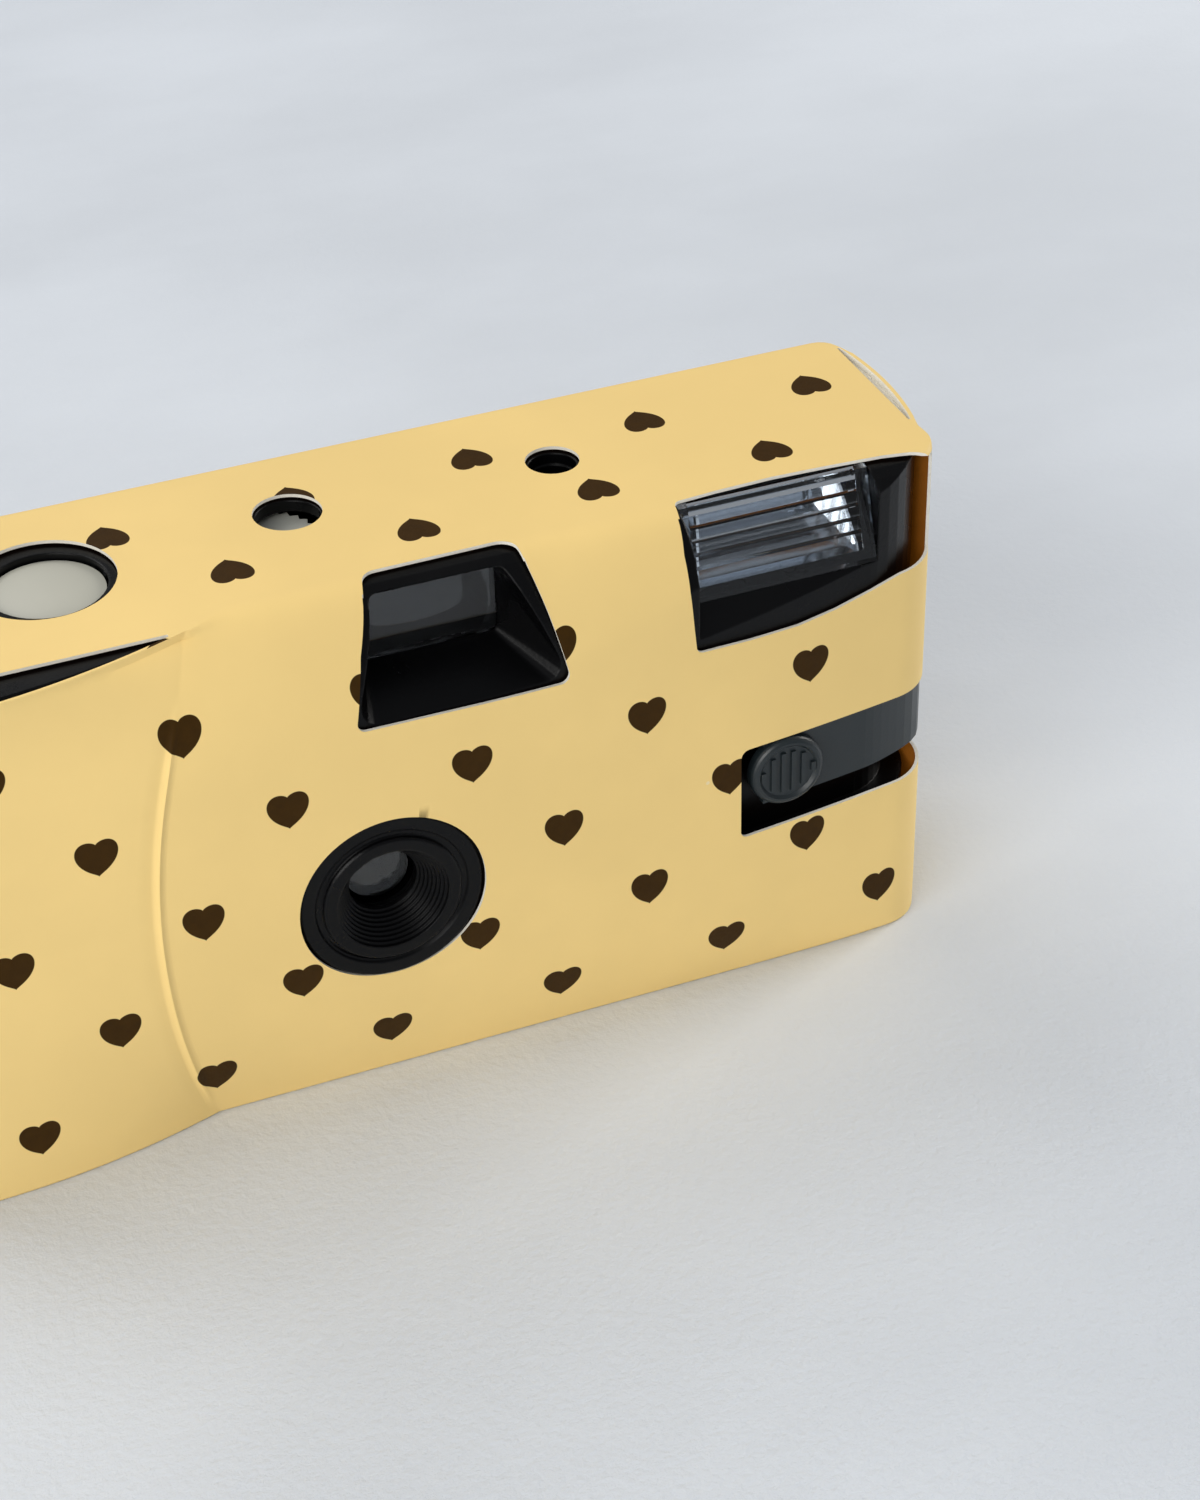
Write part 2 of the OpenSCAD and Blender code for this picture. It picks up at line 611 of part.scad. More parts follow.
// Flash lens: a plate with prism ribs on its back, inside a plain rim
plate_t = flash_t - 0.5;
flash_rim = 1.1;
module flash_lens() color([0.85, 0.9, 0.93, 0.5]) place() {
    rise = (flash_z1 - flash_z0) / flash_ribs;
    lean = (flash_y1 - flash_y0) / flash_ribs;
    teeth = [for (k = [flash_ribs - 1 : -1 : 1]) each [
        [flash_y0 + lean * (k + 1) + plate_t, flash_z0 + rise * (k + 1)],
        [flash_y0 + lean * k + flash_t, flash_z0 + rise * (k + 0.15)]]];
    along_x(flash_x, flash_end_x) polygon([[flash_y0, flash_z0], [flash_y1, flash_z1],
        [flash_y1 + plate_t, flash_z1], [flash_y0 + plate_t, flash_z0]]);
    along_x(flash_x + flash_rim, flash_end_x - flash_rim)
        polygon(concat([[flash_y0 + plate_t - eps, flash_z0 + rise / 2],
            [flash_y1 + plate_t - eps, flash_z1]], teeth));
}

// Reflector trough with slanted end plates
end_slant = 3.6;
end_y = 5;
function end_pts(x, side) = [[x, end_y], [x + side * end_slant, mirror_back + eps],
    [x + side * (end_slant - 0.5), mirror_back + eps], [x - side * 0.01, end_y + 0.4]];
mirror_t = 0.4;
mirror_h = 3.3;
mirror_back = tube_y + tube_r + 0.5;
function mirror_pts(h, back) = [for (k = [-6 : 6]) let (s = k / 6)
    [back - (s < 0 ? mirror_back - flash_y0 - flash_t - 0.5 : mirror_back - flash_y1 - flash_t) * s * s,
        tube_z + h * s]];
module flash_reflector() color([0.85, 0.86, 0.88]) place() {
    inner = mirror_pts(mirror_h, mirror_back);
    outer = mirror_pts(mirror_h + mirror_t, mirror_back + mirror_t);
    x0 = flash_x + 1;
    x1 = flash_end_x - 1;
    along_x(x0, x1) polygon(concat(inner, [for (k = [12 : -1 : 0]) outer[k]]));
    difference() {
        intersection() {
            along_x(x0, x1) polygon(inner);
            translate([0, 0, tube_z - mirror_h]) linear_extrude(2 * mirror_h) {
                polygon(end_pts(x1, -1));
                polygon(end_pts(x0, 1));
            }
        }
        translate([x0 - 1, tube_y, tube_z]) rotate([0, 90, 0]) cylinder(h = x1 - x0 + 2, r = tube_r + seat);
    }
}
tube_in = 0.4;
lead_r = 0.45;
lead_l = 0.6;
module flash_tube() color([0.9, 0.92, 0.95, 0.7]) place()
    translate([flash_x, tube_y, tube_z]) rotate([0, 90, 0]) {
        translate([0, 0, tube_in]) cylinder(h = flash_w - 2 * tube_in, r = tube_r);
        translate([0, 0, -lead_l]) cylinder(h = flash_w + 2 * lead_l, r = lead_r);
    }

// Chassis: film chambers, light cone, film gate, shutter plate, deck and pivot posts
floor_z = cavity_in + 0.2;
cone_front = 4.5;
cone_wall = 1;
module cone(grow, y0, y1) hull() {
    block(lens_x - cone_front - grow, y0, lens_z - cone_front - grow,
        lens_x + cone_front + grow, y0 + eps, lens_z + cone_front + grow);
    block(gate_x0 - grow, y1 - eps, lens_z - gate_h / 2 - grow,
        gate_x1 + grow, y1, lens_z + gate_h / 2 + grow);
}
module chamber(x, y, r, wall_r, y1) difference() {
    rod_z(x, y, wall_r, floor_z, deck_z0);
    rod_z(x, y, r, floor_z - 1, deck_z1);
    block(x - wall_r - 1, y1, floor_z - 1, x + wall_r + 1, y1 + wall_r * 2, deck_z1);
}
side_wall_x = cart_x + chamber_wall_r - 0.36;
module chassis() color([0.13, 0.13, 0.14]) place() difference() {
    union() {
        cone(cone_wall, plate_y1 - eps, gate_y0 + eps);
        block(side_wall_x, gate_y0, film_z0 - 2, supply_x - 5.2, gate_y1, film_z1 + 2);
        block(plate_x0, plate_y0, plate_z0, plate_x1, plate_y1, deck_z1);
        block(side_wall_x + 1.2, plate_y0, deck_z0, supply_x + supply_wall_r, gate_y1, deck_z1);
        block(side_wall_x, cart_y, floor_z, side_wall_x + 0.9, gate_y1, deck_z0);
        chamber(cart_x, cart_y, chamber_r, chamber_wall_r, cart_y + 1);
        chamber(supply_x, supply_y, supply_r, supply_wall_r, gate_y0);
        rod_y(blade_px, blade_pz, post_r, post_y0, plate_y0 + eps);
        rod_y(striker_px, striker_pz, post_r, post_y0, plate_y0 + eps);
        rod_y(release_px, release_pz, post_r, post_y0, plate_y0 + eps);
        rod_z(sprocket_x, sprocket_y, 2.4, sprocket_z0 - 4, sprocket_z0 - 0.4);
        rod_z(dial_x, dial_y, shaft_r, deck_z1 - eps, dial_z1 + 0.3);
        rod_z(dial_x, dial_y, shaft_r + 1.2, deck_z1 - eps, dial_z0 - 0.2);
        rod_z(supply_x, supply_y, shaft_r, floor_z, deck_z0 + eps);
        rod_z(supply_x, supply_y, shaft_r + 1, floor_z, film_z0 - core_end - 0.4);
    }
    cone(0, plate_y1 + 0.2, gate_y1 + eps);
    rod_y(lens_x, lens_z, 2.6, plate_y0 - 1, plate_y1 + 1);
    block(sprocket_x - sprocket_r - 0.6, gate_y0 - 2, sprocket_z0 - 0.3,
        sprocket_x + sprocket_r + 0.6, gate_y1 + 1, sprocket_z1 + 0.3);
    rod_z(sprocket_x, sprocket_y, shaft_r + run, sprocket_z0 - 2, deck_z1 + 1);
}

// Film cartridge, with the lip that the film leaves through
spool_r = 5.2;
module cartridge_shell() color([0.25, 0.27, 0.3]) place() difference() {
    union() {
        rod_z(cart_x, cart_y, cart_r, cart_z0, cart_z1);
        block(cart_x + 5, film_y - 1.2, cart_z0, lip_x, film_y + 1.2, cart_z1);
    }
    rod_z(cart_x, cart_y, cart_r - 0.4, cart_z0 + 0.5, cart_z1 - 0.5);
    rod_z(cart_x, cart_y, spool_r + run, cart_z0 - 1, cart_z1 + 1);
    block(cart_x + 4, film_y - 0.45, film_z0 - 0.5, lip_x + 1, film_y + 0.45, film_z1 + 0.5);
}
module cartridge_spool() color([0.2, 0.2, 0.22]) place() {
    rod_z(cart_x, cart_y, spool_r, cart_z0 - 0.8, wheel_z0 - 0.2);
    rod_z(cart_x, cart_y, wheel_hub_r - 1 - run, wheel_z0 - 0.3, wheel_z1 - 0.8);
    for (z = [film_z0 - 0.8, film_z1 + 0.4])
        rod_z(cart_x, cart_y, cart_r - 1.2, z, z + 0.4);
}
perf_pitch = 4.75;
perf_w = 1.98;
perf_h = 2.8;
film_x0 = lip_x - 4;
module film_strip() color([0.35, 0.2, 0.16]) place() difference() {
    block(film_x0, film_y - film_t / 2, film_z0, supply_x, film_y + film_t / 2, film_z1);
    for (x = [film_x0 + 1 : perf_pitch : supply_x - perf_w], z = [film_z0 + 2, film_z1 - 2 - perf_h])
        block(x, film_y - 1, z, x + perf_w, film_y + 1, z + perf_h);
}
core_r = 4;
core_end = 1.6;
module film_roll() color([0.3, 0.17, 0.14]) place() difference() {
    union() {
        rod_z(supply_x, supply_y, roll_r, film_z0, film_z1);
        rod_z(supply_x, supply_y, core_r, film_z0 - core_end, film_z1 + core_end);
    }
    rod_z(supply_x, supply_y, shaft_r + run, film_z0 - 3, film_z1 + 3);
}

// Advance wheel with its grooved rim
module thumb_wheel() color([0.12, 0.12, 0.13]) place() translate([cart_x, cart_y, wheel_z0]) difference() {
    steps = wheel_grooves * 4;
    linear_extrude(wheel_h) polygon([for (k = [0 : steps - 1]) let (a = 360 * k / steps)
        let (r = wheel_r - (k % 4 < 2 ? 0 : 0.5)) r * [cos(a + 90), sin(a + 90)]]);
    translate([0, 0, -1]) cylinder(h = wheel_h + 2, r = wheel_hub_r - 1);
    translate([0, 0, wheel_h - 1.2]) difference() {
        cylinder(h = 2, r = wheel_r - 2);
        translate([0, 0, -1]) cylinder(h = 4, r = wheel_hub_r + 1.5);
    }
}

// Film sprocket, its shaft and the counting finger
teeth_count = 8;
module sprocket_shaft() color([0.85, 0.85, 0.8]) place() translate([sprocket_x, sprocket_y, 0]) {
    translate([0, 0, sprocket_z0 - 1.6]) cylinder(h = dial_z1 - sprocket_z0 + 1.6, r = shaft_r);
    translate([0, 0, sprocket_z0]) cylinder(h = sprocket_z1 - sprocket_z0, r = sprocket_r - 0.7);
    for (k = [0 : teeth_count - 1]) rotate([0, 0, 360 * k / teeth_count])
        block(sprocket_r - 1, -0.7, sprocket_z0 + 0.7, sprocket_r + 0.1, 0.7, sprocket_z0 + 2.5);
    rotate([0, 0, 90]) block(0, -0.5, dial_z0, finger_r, 0.5, dial_z1);
}
dial_teeth = 30;
module counter_dial() color([0.86, 0.86, 0.84]) place() translate([dial_x, dial_y, dial_z0]) difference() {
    steps = dial_teeth * 2;
    linear_extrude(dial_z1 - dial_z0) polygon([for (k = [0 : steps - 1]) let (a = 360 * k / steps)
        (dial_r - (k % 2) * 0.5) * [cos(a), sin(a)]]);
    translate([0, 0, -1]) cylinder(h = 4, r = shaft_r + run);
}

// Release button with the arm and plunger that reach the release lever
plunger_x = release_px - 8.5;
plunger_y = (lever_y0 + lever_y1) / 2;
plunger_z = release_pz + 4;
button_z1 = skin_top - 0.3;
button_z0 = cavity_top - button_travel - 1.5;
button_dome = 40;
module release_button() color([0.74, 0.74, 0.7]) place() {
    intersection() {
        rod_z(button_x, button_y, button_r, button_z0, button_z1 + 1);
        translate([button_x, button_y, button_z1 - button_dome]) sphere(r = button_dome);
    }
    reach = norm([plunger_x - button_x, plunger_y - button_y]);
    translate([button_x, button_y, button_z0])
        rotate([0, 0, atan2(plunger_y - button_y, plunger_x - button_x)])
            translate([0, -1.5, 0]) cube([reach, 3, 1.4]);
    rod_z(plunger_x, plunger_y, 1.5, button_z0, button_z0 + 1.4);
    rod_z(plunger_x, plunger_y, 0.9, plunger_z, button_z0 + 1);
}

// Flat bar between two points
module bar(a, b, w) translate(a) rotate(atan2(b[1] - a[1], b[0] - a[0])) translate([0, -w / 2])
    square([norm(b - a), w]);
// Flat lever: a hub with its bore, and bars to the given points
module lever_plate(hub, ends, hub_r, w, y0, y1) along_y(y0, y1) difference() {
    union() {
        translate(hub) circle(r = hub_r);
        for (e = ends) {
            bar(hub, e, w);
            translate(e) circle(r = w / 2);
        }
    }
    translate(hub) circle(r = post_r + run);
}
hub_r = 2.3;
lever_w = 1.7;
release_reach = 3.2;
module release_lever() color([0.75, 0.75, 0.72]) place()
    lever_plate([release_px, release_pz],
        [[plunger_x, plunger_z - clear - lever_w / 2], [release_px + release_reach, release_pz]],
        hub_r, lever_w, lever_y0, lever_y1);
striker_reach = 12.5;
striker_drop = 5.5;
tip = [striker_px + striker_reach, striker_pz - striker_drop];
striker_heel = 5;
tip_r = 0.7;
module striker_lever() color([0.7, 0.71, 0.74]) place() {
    lever_plate([striker_px, striker_pz], [tip, [striker_px - striker_heel, striker_pz - 0.5]],
        hub_r, lever_w, lever_y0, lever_y1);
    rod_y(tip[0], tip[1], tip_r, lever_y0, blade_y1);
}
blade_r = 4.1;
blade_tail = [5.2, 2.9];
module shutter_blade() color([0.16, 0.16, 0.17]) place() {
    lever_plate([blade_px, blade_pz], [[lens_x, lens_z], [blade_px, blade_pz] + blade_tail], hub_r, lever_w,
        blade_y0, blade_y1);
    rod_y(lens_x, lens_z, blade_r, blade_y0, blade_y1);
}

// Charging lever: an arm that hugs the front, swells out at the corner and hangs on its pin
arm_t = 0.9;
arm_in = skin_in + 0.1;
arm_swell = 1.6;
swell_lean = 1.6;
arm_x0 = knob_x - 2.5;
function arm_pts(inset) = concat(
    [for (k = [0 : 6]) let (x = arm_x0 + (corner_start_x - arm_x0) * k / 6) [x, plan_y(x) + inset]],
    [for (k = [1 : 11]) let (s = k / 12, a = (corner_tilt - 90) * (1 - s))
        let (r = flash_corner_r - inset + arm_swell * pow(sin(180 * pow(s, swell_lean)), 2))
        [corner_x + r * cos(a), corner_y + r * sin(a)]]);
module flash_lever() color([0.23, 0.26, 0.28]) place() difference() {
    outer = arm_pts(arm_in);
    inner = arm_pts(arm_in + arm_t);
    knob_y = plan_y(knob_x) + arm_in;
    union() {
        translate([0, 0, arm_z0]) linear_extrude(arm_z1 - arm_z0) polygon(concat(outer,
            [[hinge_x + 0.6, hinge_y], [hinge_x - 0.6, hinge_y]], [for (k = [17 : -1 : 0]) inner[k]]));
        rod_z(hinge_x, hinge_y, barrel_r, arm_z0, arm_z1);
        translate([knob_x, knob_y + knob_root, knob_z]) rotate([90, 0, 0]) lever_knob(knob_h + knob_root);
        rod_y(knob_x, knob_z, 0.8, knob_y, board_y0 - knob_travel - 0.4);
    }
    rod_z(hinge_x, hinge_y, hinge_r + run, 0, sleeve_h);
}

// Round knob with a rounded rim and upright ribs in its dished face
knob_root = 0.3;
knob_ribs = 6;
rib_pitch = 1.11;
rib_w = 0.5;
knob_dish = 0.3;
module lever_knob(h) {
    face_r = knob_r - knob_round;
    rotate_extrude() polygon(concat([[0, 0], [knob_r, 0]], arc(face_r, h - knob_round, knob_round, 0, 90, 5),
        [[face_r - knob_dish, h - knob_dish], [0, h - knob_dish]]));
    for (k = [0 : knob_ribs - 1]) let (x = (k - (knob_ribs - 1) / 2) * rib_pitch)
        let (reach = sqrt(pow(face_r - knob_dish, 2) - x * x) - rib_w)
        translate([x - rib_w / 2, -reach, h - knob_dish - eps]) cube([rib_w, 2 * reach, knob_dish]);
}

// Flash circuit
board_z0 = cavity_in + 2.2;
board_z1 = flash_low_z - 1.2;
module flash_board() color([0.2, 0.42, 0.28]) place()
    along_y(board_y0, board_y1)
        polygon(rounded(box_pts(board_x0, board_z0, board_x1, board_z1), 1));
module charge_contact() color([0.8, 0.7, 0.4]) place()
    block(knob_x - 1.5, board_y0 - 0.3, knob_z - 4, knob_x + 1.5, board_y0, knob_z + 2);
coil_w = 4.3;
coil_d = 5.6;
coil_h = 9;
flange_h = 1.5;
flange_lip = 0.5;
module flash_transformer() color([0.75, 0.62, 0.25]) place()
    translate([supply_x - coil_h / 2, supply_y - coil_d / 2, deck_z1]) {
        for (x = [0, coil_h - flange_h]) translate([x, 0, 0]) cube([flange_h, coil_d, coil_w]);
        translate([eps, flange_lip, flange_lip])
            cube([coil_h - 2 * eps, coil_d - 2 * flange_lip, coil_w - 2 * flange_lip]);
    }
can_r = 4.5;
can_in = 5.4;
can_spare = 6;
can_cap = 1.5;
module flash_capacitor() color([0.12, 0.16, 0.3]) place()
    translate([gate_x0 + can_in, plate_y1 + clear + can_r, cavity_in + can_r + eps]) rotate([0, 90, 0]) {
        can_len = gate_w - can_spare;
        cylinder(h = can_len, r = can_r);
        translate([0, 0, can_len - eps]) cylinder(h = can_cap, r = can_r - 0.8);
    }
module sync_contact() color([0.8, 0.7, 0.4]) place()
    block(plate_x1 - 4, plate_y0 - 0.3, plate_z0 + 0.6, plate_x1 - 1, plate_y0, plate_z0 + 5);
module ready_lamp() color([0.9, 0.45, 0.25]) place() {
    rod_z(ready_x, ready_y, ready_r - 1, deck_z1, cavity_top - 5.6);
    translate([ready_x, ready_y, cavity_top - 5.6]) sphere(r = ready_r - 1);
}
module battery() color([0.2, 0.35, 0.6]) place() {
    rod_z(cell_x, cell_y, cell_r, cell_z0, cell_z1 - 1.5);
    rod_z(cell_x, cell_y, 2.7, cell_z1 - 1.6, cell_z1);
}
strap_w = 6;
strap_t = 0.4;
strap_end = 3;
module strap(z) block(cell_x - strap_w, cell_y - strap_w / 2, z,
    cell_x + strap_end, cell_y + strap_w / 2, z + strap_t);
module battery_contact_top() color([0.8, 0.8, 0.78]) place()
    strap(cell_z1);
module battery_contact_bottom() color([0.8, 0.8, 0.78]) place() {
    strap(cavity_in);
    rod_z(cell_x, cell_y, strap_w / 3, cavity_in + strap_t - eps, cell_z0);
}

card_sleeve();
front_cover();
rear_cover();
chassis();
taking_lens();
lens_retainer();
viewfinder_front_lens();
eyepiece_lens();
flash_lens();
flash_reflector();
flash_tube();
flash_board();
charge_contact();
flash_transformer();
flash_capacitor();
sync_contact();
ready_lamp();
battery();
battery_contact_top();
battery_contact_bottom();
cartridge_shell();
cartridge_spool();
film_strip();
film_roll();
thumb_wheel();
sprocket_shaft();
counter_dial();
release_button();
release_lever();
striker_lever();
shutter_blade();
flash_lever();
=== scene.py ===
"""Disposable film camera in a printed card sleeve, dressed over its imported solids.

Shape functions work in millimetres with y measured from the foremost plane of the front,
as the part's source does; to_row() brings a point into the shared frame in metres.
"""
import math

import bmesh
import bpy
from bpy.props import FloatProperty, FloatVectorProperty, PointerProperty
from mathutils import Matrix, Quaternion, Vector


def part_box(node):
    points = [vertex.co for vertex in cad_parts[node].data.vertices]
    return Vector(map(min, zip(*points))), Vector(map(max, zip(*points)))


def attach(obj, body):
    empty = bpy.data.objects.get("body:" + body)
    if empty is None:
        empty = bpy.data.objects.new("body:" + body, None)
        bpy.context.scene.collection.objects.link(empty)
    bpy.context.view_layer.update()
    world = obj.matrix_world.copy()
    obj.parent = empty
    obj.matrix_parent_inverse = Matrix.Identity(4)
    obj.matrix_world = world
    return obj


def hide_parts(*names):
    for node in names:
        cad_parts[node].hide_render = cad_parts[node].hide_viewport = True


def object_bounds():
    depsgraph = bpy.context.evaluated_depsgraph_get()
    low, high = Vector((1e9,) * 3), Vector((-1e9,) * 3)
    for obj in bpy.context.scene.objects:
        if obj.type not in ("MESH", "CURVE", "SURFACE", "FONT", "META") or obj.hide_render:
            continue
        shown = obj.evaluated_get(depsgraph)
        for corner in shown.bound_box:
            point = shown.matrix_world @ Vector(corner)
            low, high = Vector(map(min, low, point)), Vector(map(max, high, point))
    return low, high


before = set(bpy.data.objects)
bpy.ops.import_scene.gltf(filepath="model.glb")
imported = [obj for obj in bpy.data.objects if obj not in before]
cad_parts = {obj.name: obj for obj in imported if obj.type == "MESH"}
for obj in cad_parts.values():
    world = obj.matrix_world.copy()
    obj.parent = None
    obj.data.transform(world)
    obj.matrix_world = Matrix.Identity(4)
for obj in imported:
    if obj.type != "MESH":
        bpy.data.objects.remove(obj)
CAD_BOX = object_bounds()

bl_info = {
    "name": "Card Sleeve Film Camera",
    "version": (1, 0, 0),
    "blender": (4, 5, 0),
    "location": "View3D > Sidebar > Film Camera",
    "description": "Builds the card sleeve, the mouldings and the stage of a disposable film camera",
    "category": "Object",
}

MM = 0.001
SLEEVE_LOW, SLEEVE_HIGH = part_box("card_sleeve")
DEPTH_MID = CAD_BOX[1][1] / MM
HALF_W = SLEEVE_HIGH[0] / MM
SLEEVE_H = SLEEVE_HIGH[2] / MM
SLEEVE_D = (SLEEVE_HIGH[1] - SLEEVE_LOW[1]) / MM


def srgb(r, g, b):
    """Linear colour from 0-255 screen values."""
    def lin(c):
        c /= 255.0
        return c / 12.92 if c <= 0.04045 else ((c + 0.055) / 1.055) ** 2.4
    return (lin(r), lin(g), lin(b))


def colour(name, about, rgb):
    return FloatVectorProperty(name=name, description=about, subtype="COLOR", size=3, min=0, max=1,
                               default=srgb(*rgb))


def length(name, about, mm):
    return FloatProperty(name=name, description=about, unit="LENGTH", default=mm * MM, precision=5)


class FC_CardSettings(bpy.types.PropertyGroup):
    thickness: length("Card", "Thickness of the card", 0.34)
    fold: length("Fold", "Radius of the folds", 0.5)
    ground: colour("Ground", "Ground colour of the print", (247, 214, 141))
    motif: colour("Motif", "Colour of the printed hearts", (58, 37, 3))
    cut_edge: colour("Cut edge", "Colour of the cut paper", (244, 238, 224))
    # Inside colour: partly the card's own kraft tone, partly a painted orange glow of light shining through the
    # card; it also colours the painted emission glow.
    inside: colour("Inside", "Colour of the unprinted inside", (206, 122, 24))
    heart_r: length("Heart", "Half width of a heart", 1.82)
    pitch: length("Pitch", "Distance of the hearts along a row", 18.4)
    row: length("Row", "Distance between the rows", 10.53)


class FC_MouldingSettings(bpy.types.PropertyGroup):
    black: colour("Black", "Colour of the black mouldings", (5, 5, 6))
    slate: colour("Slate", "Colour of the flash lever", (27, 35, 38))
    button: colour("Button", "Colour of the release button", (196, 194, 180))
    dial: colour("Dial", "Colour of the counter dial", (206, 206, 196))
    roughness: FloatProperty(name="Roughness", description="Roughness of the black mouldings", default=0.3,
                             min=0, max=1, subtype="FACTOR")


class FC_StageSettings(bpy.types.PropertyGroup):
    floor: colour("Floor", "Colour of the table", (214, 219, 226))
    focal: FloatProperty(name="Focal length", description="Camera lens in millimetres", default=75.17, min=10)
    azimuth: FloatProperty(name="Azimuth", description="Camera azimuth", default=math.radians(-21.15),
                           subtype="ANGLE")
    elevation: FloatProperty(name="Elevation", description="Camera elevation", default=math.radians(35.24),
                             subtype="ANGLE")
    roll: FloatProperty(name="Roll", description="Camera roll", default=math.radians(-1.47), subtype="ANGLE")


# Small tools for meshes

def to_row(x, y, z):
    return Vector((x * MM, (y - DEPTH_MID) * MM, z * MM))


def new_object(name, verts, faces, mats=()):
    mesh = bpy.data.meshes.new(name)
    mesh.from_pydata([tuple(v) for v in verts], [], faces)
    mesh.validate()
    obj = bpy.data.objects.new(name, mesh)
    bpy.context.scene.collection.objects.link(obj)
    for mat in mats:
        mesh.materials.append(mat)
    return obj


def smooth(obj, angle=32):
    obj.data.shade_smooth()
    obj.data.set_sharp_from_angle(angle=math.radians(angle))


def apply_modifiers(obj):
    graph = bpy.context.evaluated_depsgraph_get()
    mesh = bpy.data.meshes.new_from_object(obj.evaluated_get(graph))
    obj.modifiers.clear()
    old = obj.data
    obj.data = mesh
    bpy.data.meshes.remove(old)


def prism(name, outline, depth0, depth1, axis, mats=()):
    """Closed prism over a flat outline: axis y takes (x, z) points and axis z takes (x, y)."""
    def point(p, d):
        return to_row(p[0], d, p[1]) if axis == "y" else to_row(p[0], p[1], d)
    n = len(outline)
    verts = [point(p, depth0) for p in outline] + [point(p, depth1) for p in outline]
    faces = [list(range(n)), list(range(2 * n - 1, n - 1, -1))]
    faces += [[i, i + n, (i + 1) % n + n, (i + 1) % n] for i in range(n)]
    obj = new_object(name, verts, faces, mats)
    work = bmesh.new()
    work.from_mesh(obj.data)
    bmesh.ops.recalc_face_normals(work, faces=work.faces)
    work.to_mesh(obj.data)
    work.free()
    return obj


def circle(cx, cy, r, n=72):
    return [(cx + r * math.cos(math.tau * k / n), cy + r * math.sin(math.tau * k / n)) for k in range(n)]


def rounded(points, radii, steps=6):
    """Outline with each corner rounded by its radius."""
    out = []
    n = len(points)
    if not isinstance(radii, (list, tuple)):
        radii = [radii] * n
    for i in range(n):
        a, b, c = (Vector(points[k % n]) for k in (i - 1, i, i + 1))
        u, v = (a - b).normalized(), (c - b).normalized()
        half = math.acos(max(-1, min(1, u.dot(v)))) / 2
        reach = radii[i] / math.tan(half)
        mid = b + (u + v).normalized() * radii[i] / math.sin(half)
        p, q = b + u * reach - mid, b + v * reach - mid
        for k in range(steps + 1):
            s = p.lerp(q, k / steps).normalized() * radii[i]
            out.append((mid.x + s.x, mid.y + s.y))
    return out


# Small tools for materials

class Shade:
    """Node tree of one material, with short calls for its nodes."""

    def __init__(self, name):
        self.mat = bpy.data.materials.new(name)
        self.mat.use_nodes = True
        self.tree = self.mat.node_tree
        self.tree.nodes.clear()
        self.out = self.tree.nodes.new("ShaderNodeOutputMaterial")
        self.bsdf = self.tree.nodes.new("ShaderNodeBsdfPrincipled")
        self.tree.links.new(self.bsdf.outputs[0], self.out.inputs["Surface"])

    def put(self, socket, value):
        if isinstance(value, bpy.types.NodeSocket):
            self.tree.links.new(value, socket)
        elif socket.type == "RGBA":
            socket.default_value = (value[0], value[1], value[2], 1)
        else:
            socket.default_value = value

    def set(self, **values):
        for key, value in values.items():
            self.put(self.bsdf.inputs[key.replace("_", " ")], value)
        return self

    def math(self, op, a, b=None):
        n = self.tree.nodes.new("ShaderNodeMath")
        n.operation = op
        for i, v in enumerate((a, b)):
            if v is not None:
                self.put(n.inputs[i], v)
        return n.outputs[0]

    def coords(self):
        return self.tree.nodes.new("ShaderNodeTexCoord").outputs["Object"]

    def scaled(self, vector, scale):
        n = self.tree.nodes.new("ShaderNodeMapping")
        self.put(n.inputs["Vector"], vector)
        n.inputs["Scale"].default_value = scale
        return n.outputs[0]

    def noise(self, scale, vector=None, detail=3, rough=0.55):
        n = self.tree.nodes.new("ShaderNodeTexNoise")
        self.put(n.inputs["Vector"], vector or self.coords())
        n.inputs["Scale"].default_value = scale
        n.inputs["Detail"].default_value = detail
        n.inputs["Roughness"].default_value = rough
        return n.outputs["Fac"]

    def voronoi(self, scale):
        n = self.tree.nodes.new("ShaderNodeTexVoronoi")
        self.put(n.inputs["Vector"], self.coords())
        n.inputs["Scale"].default_value = scale
        return n.outputs["Distance"]

    def span(self, value, low, high, to_low=0.0, to_high=1.0):
        n = self.tree.nodes.new("ShaderNodeMapRange")
        n.interpolation_type = "SMOOTHSTEP"
        for i, v in enumerate((value, low, high, to_low, to_high)):
            self.put(n.inputs[i], v)
        return n.outputs[0]

    def mix(self, fac, a, b):
        n = self.tree.nodes.new("ShaderNodeMix")
        n.data_type = "RGBA"
        self.put(n.inputs["Factor"], fac)
        self.put(n.inputs[6], a)
        self.put(n.inputs[7], b)
        return n.outputs[2]

    def bevel(self, radius):
        n = self.tree.nodes.new("ShaderNodeBevel")
        n.samples = 6
        n.inputs["Radius"].default_value = radius
        return n.outputs[0]

    def bump(self, height, strength, distance, normal=None):
        n = self.tree.nodes.new("ShaderNodeBump")
        n.inputs["Strength"].default_value = strength
        n.inputs["Distance"].default_value = distance
        self.put(n.inputs["Height"], height)
        if normal is not None:
            self.put(n.inputs["Normal"], normal)
        return n.outputs[0]


def tint(rgb, k):
    return tuple(min(1.0, c * k) for c in rgb)


MOULD_WEAR = 0.12


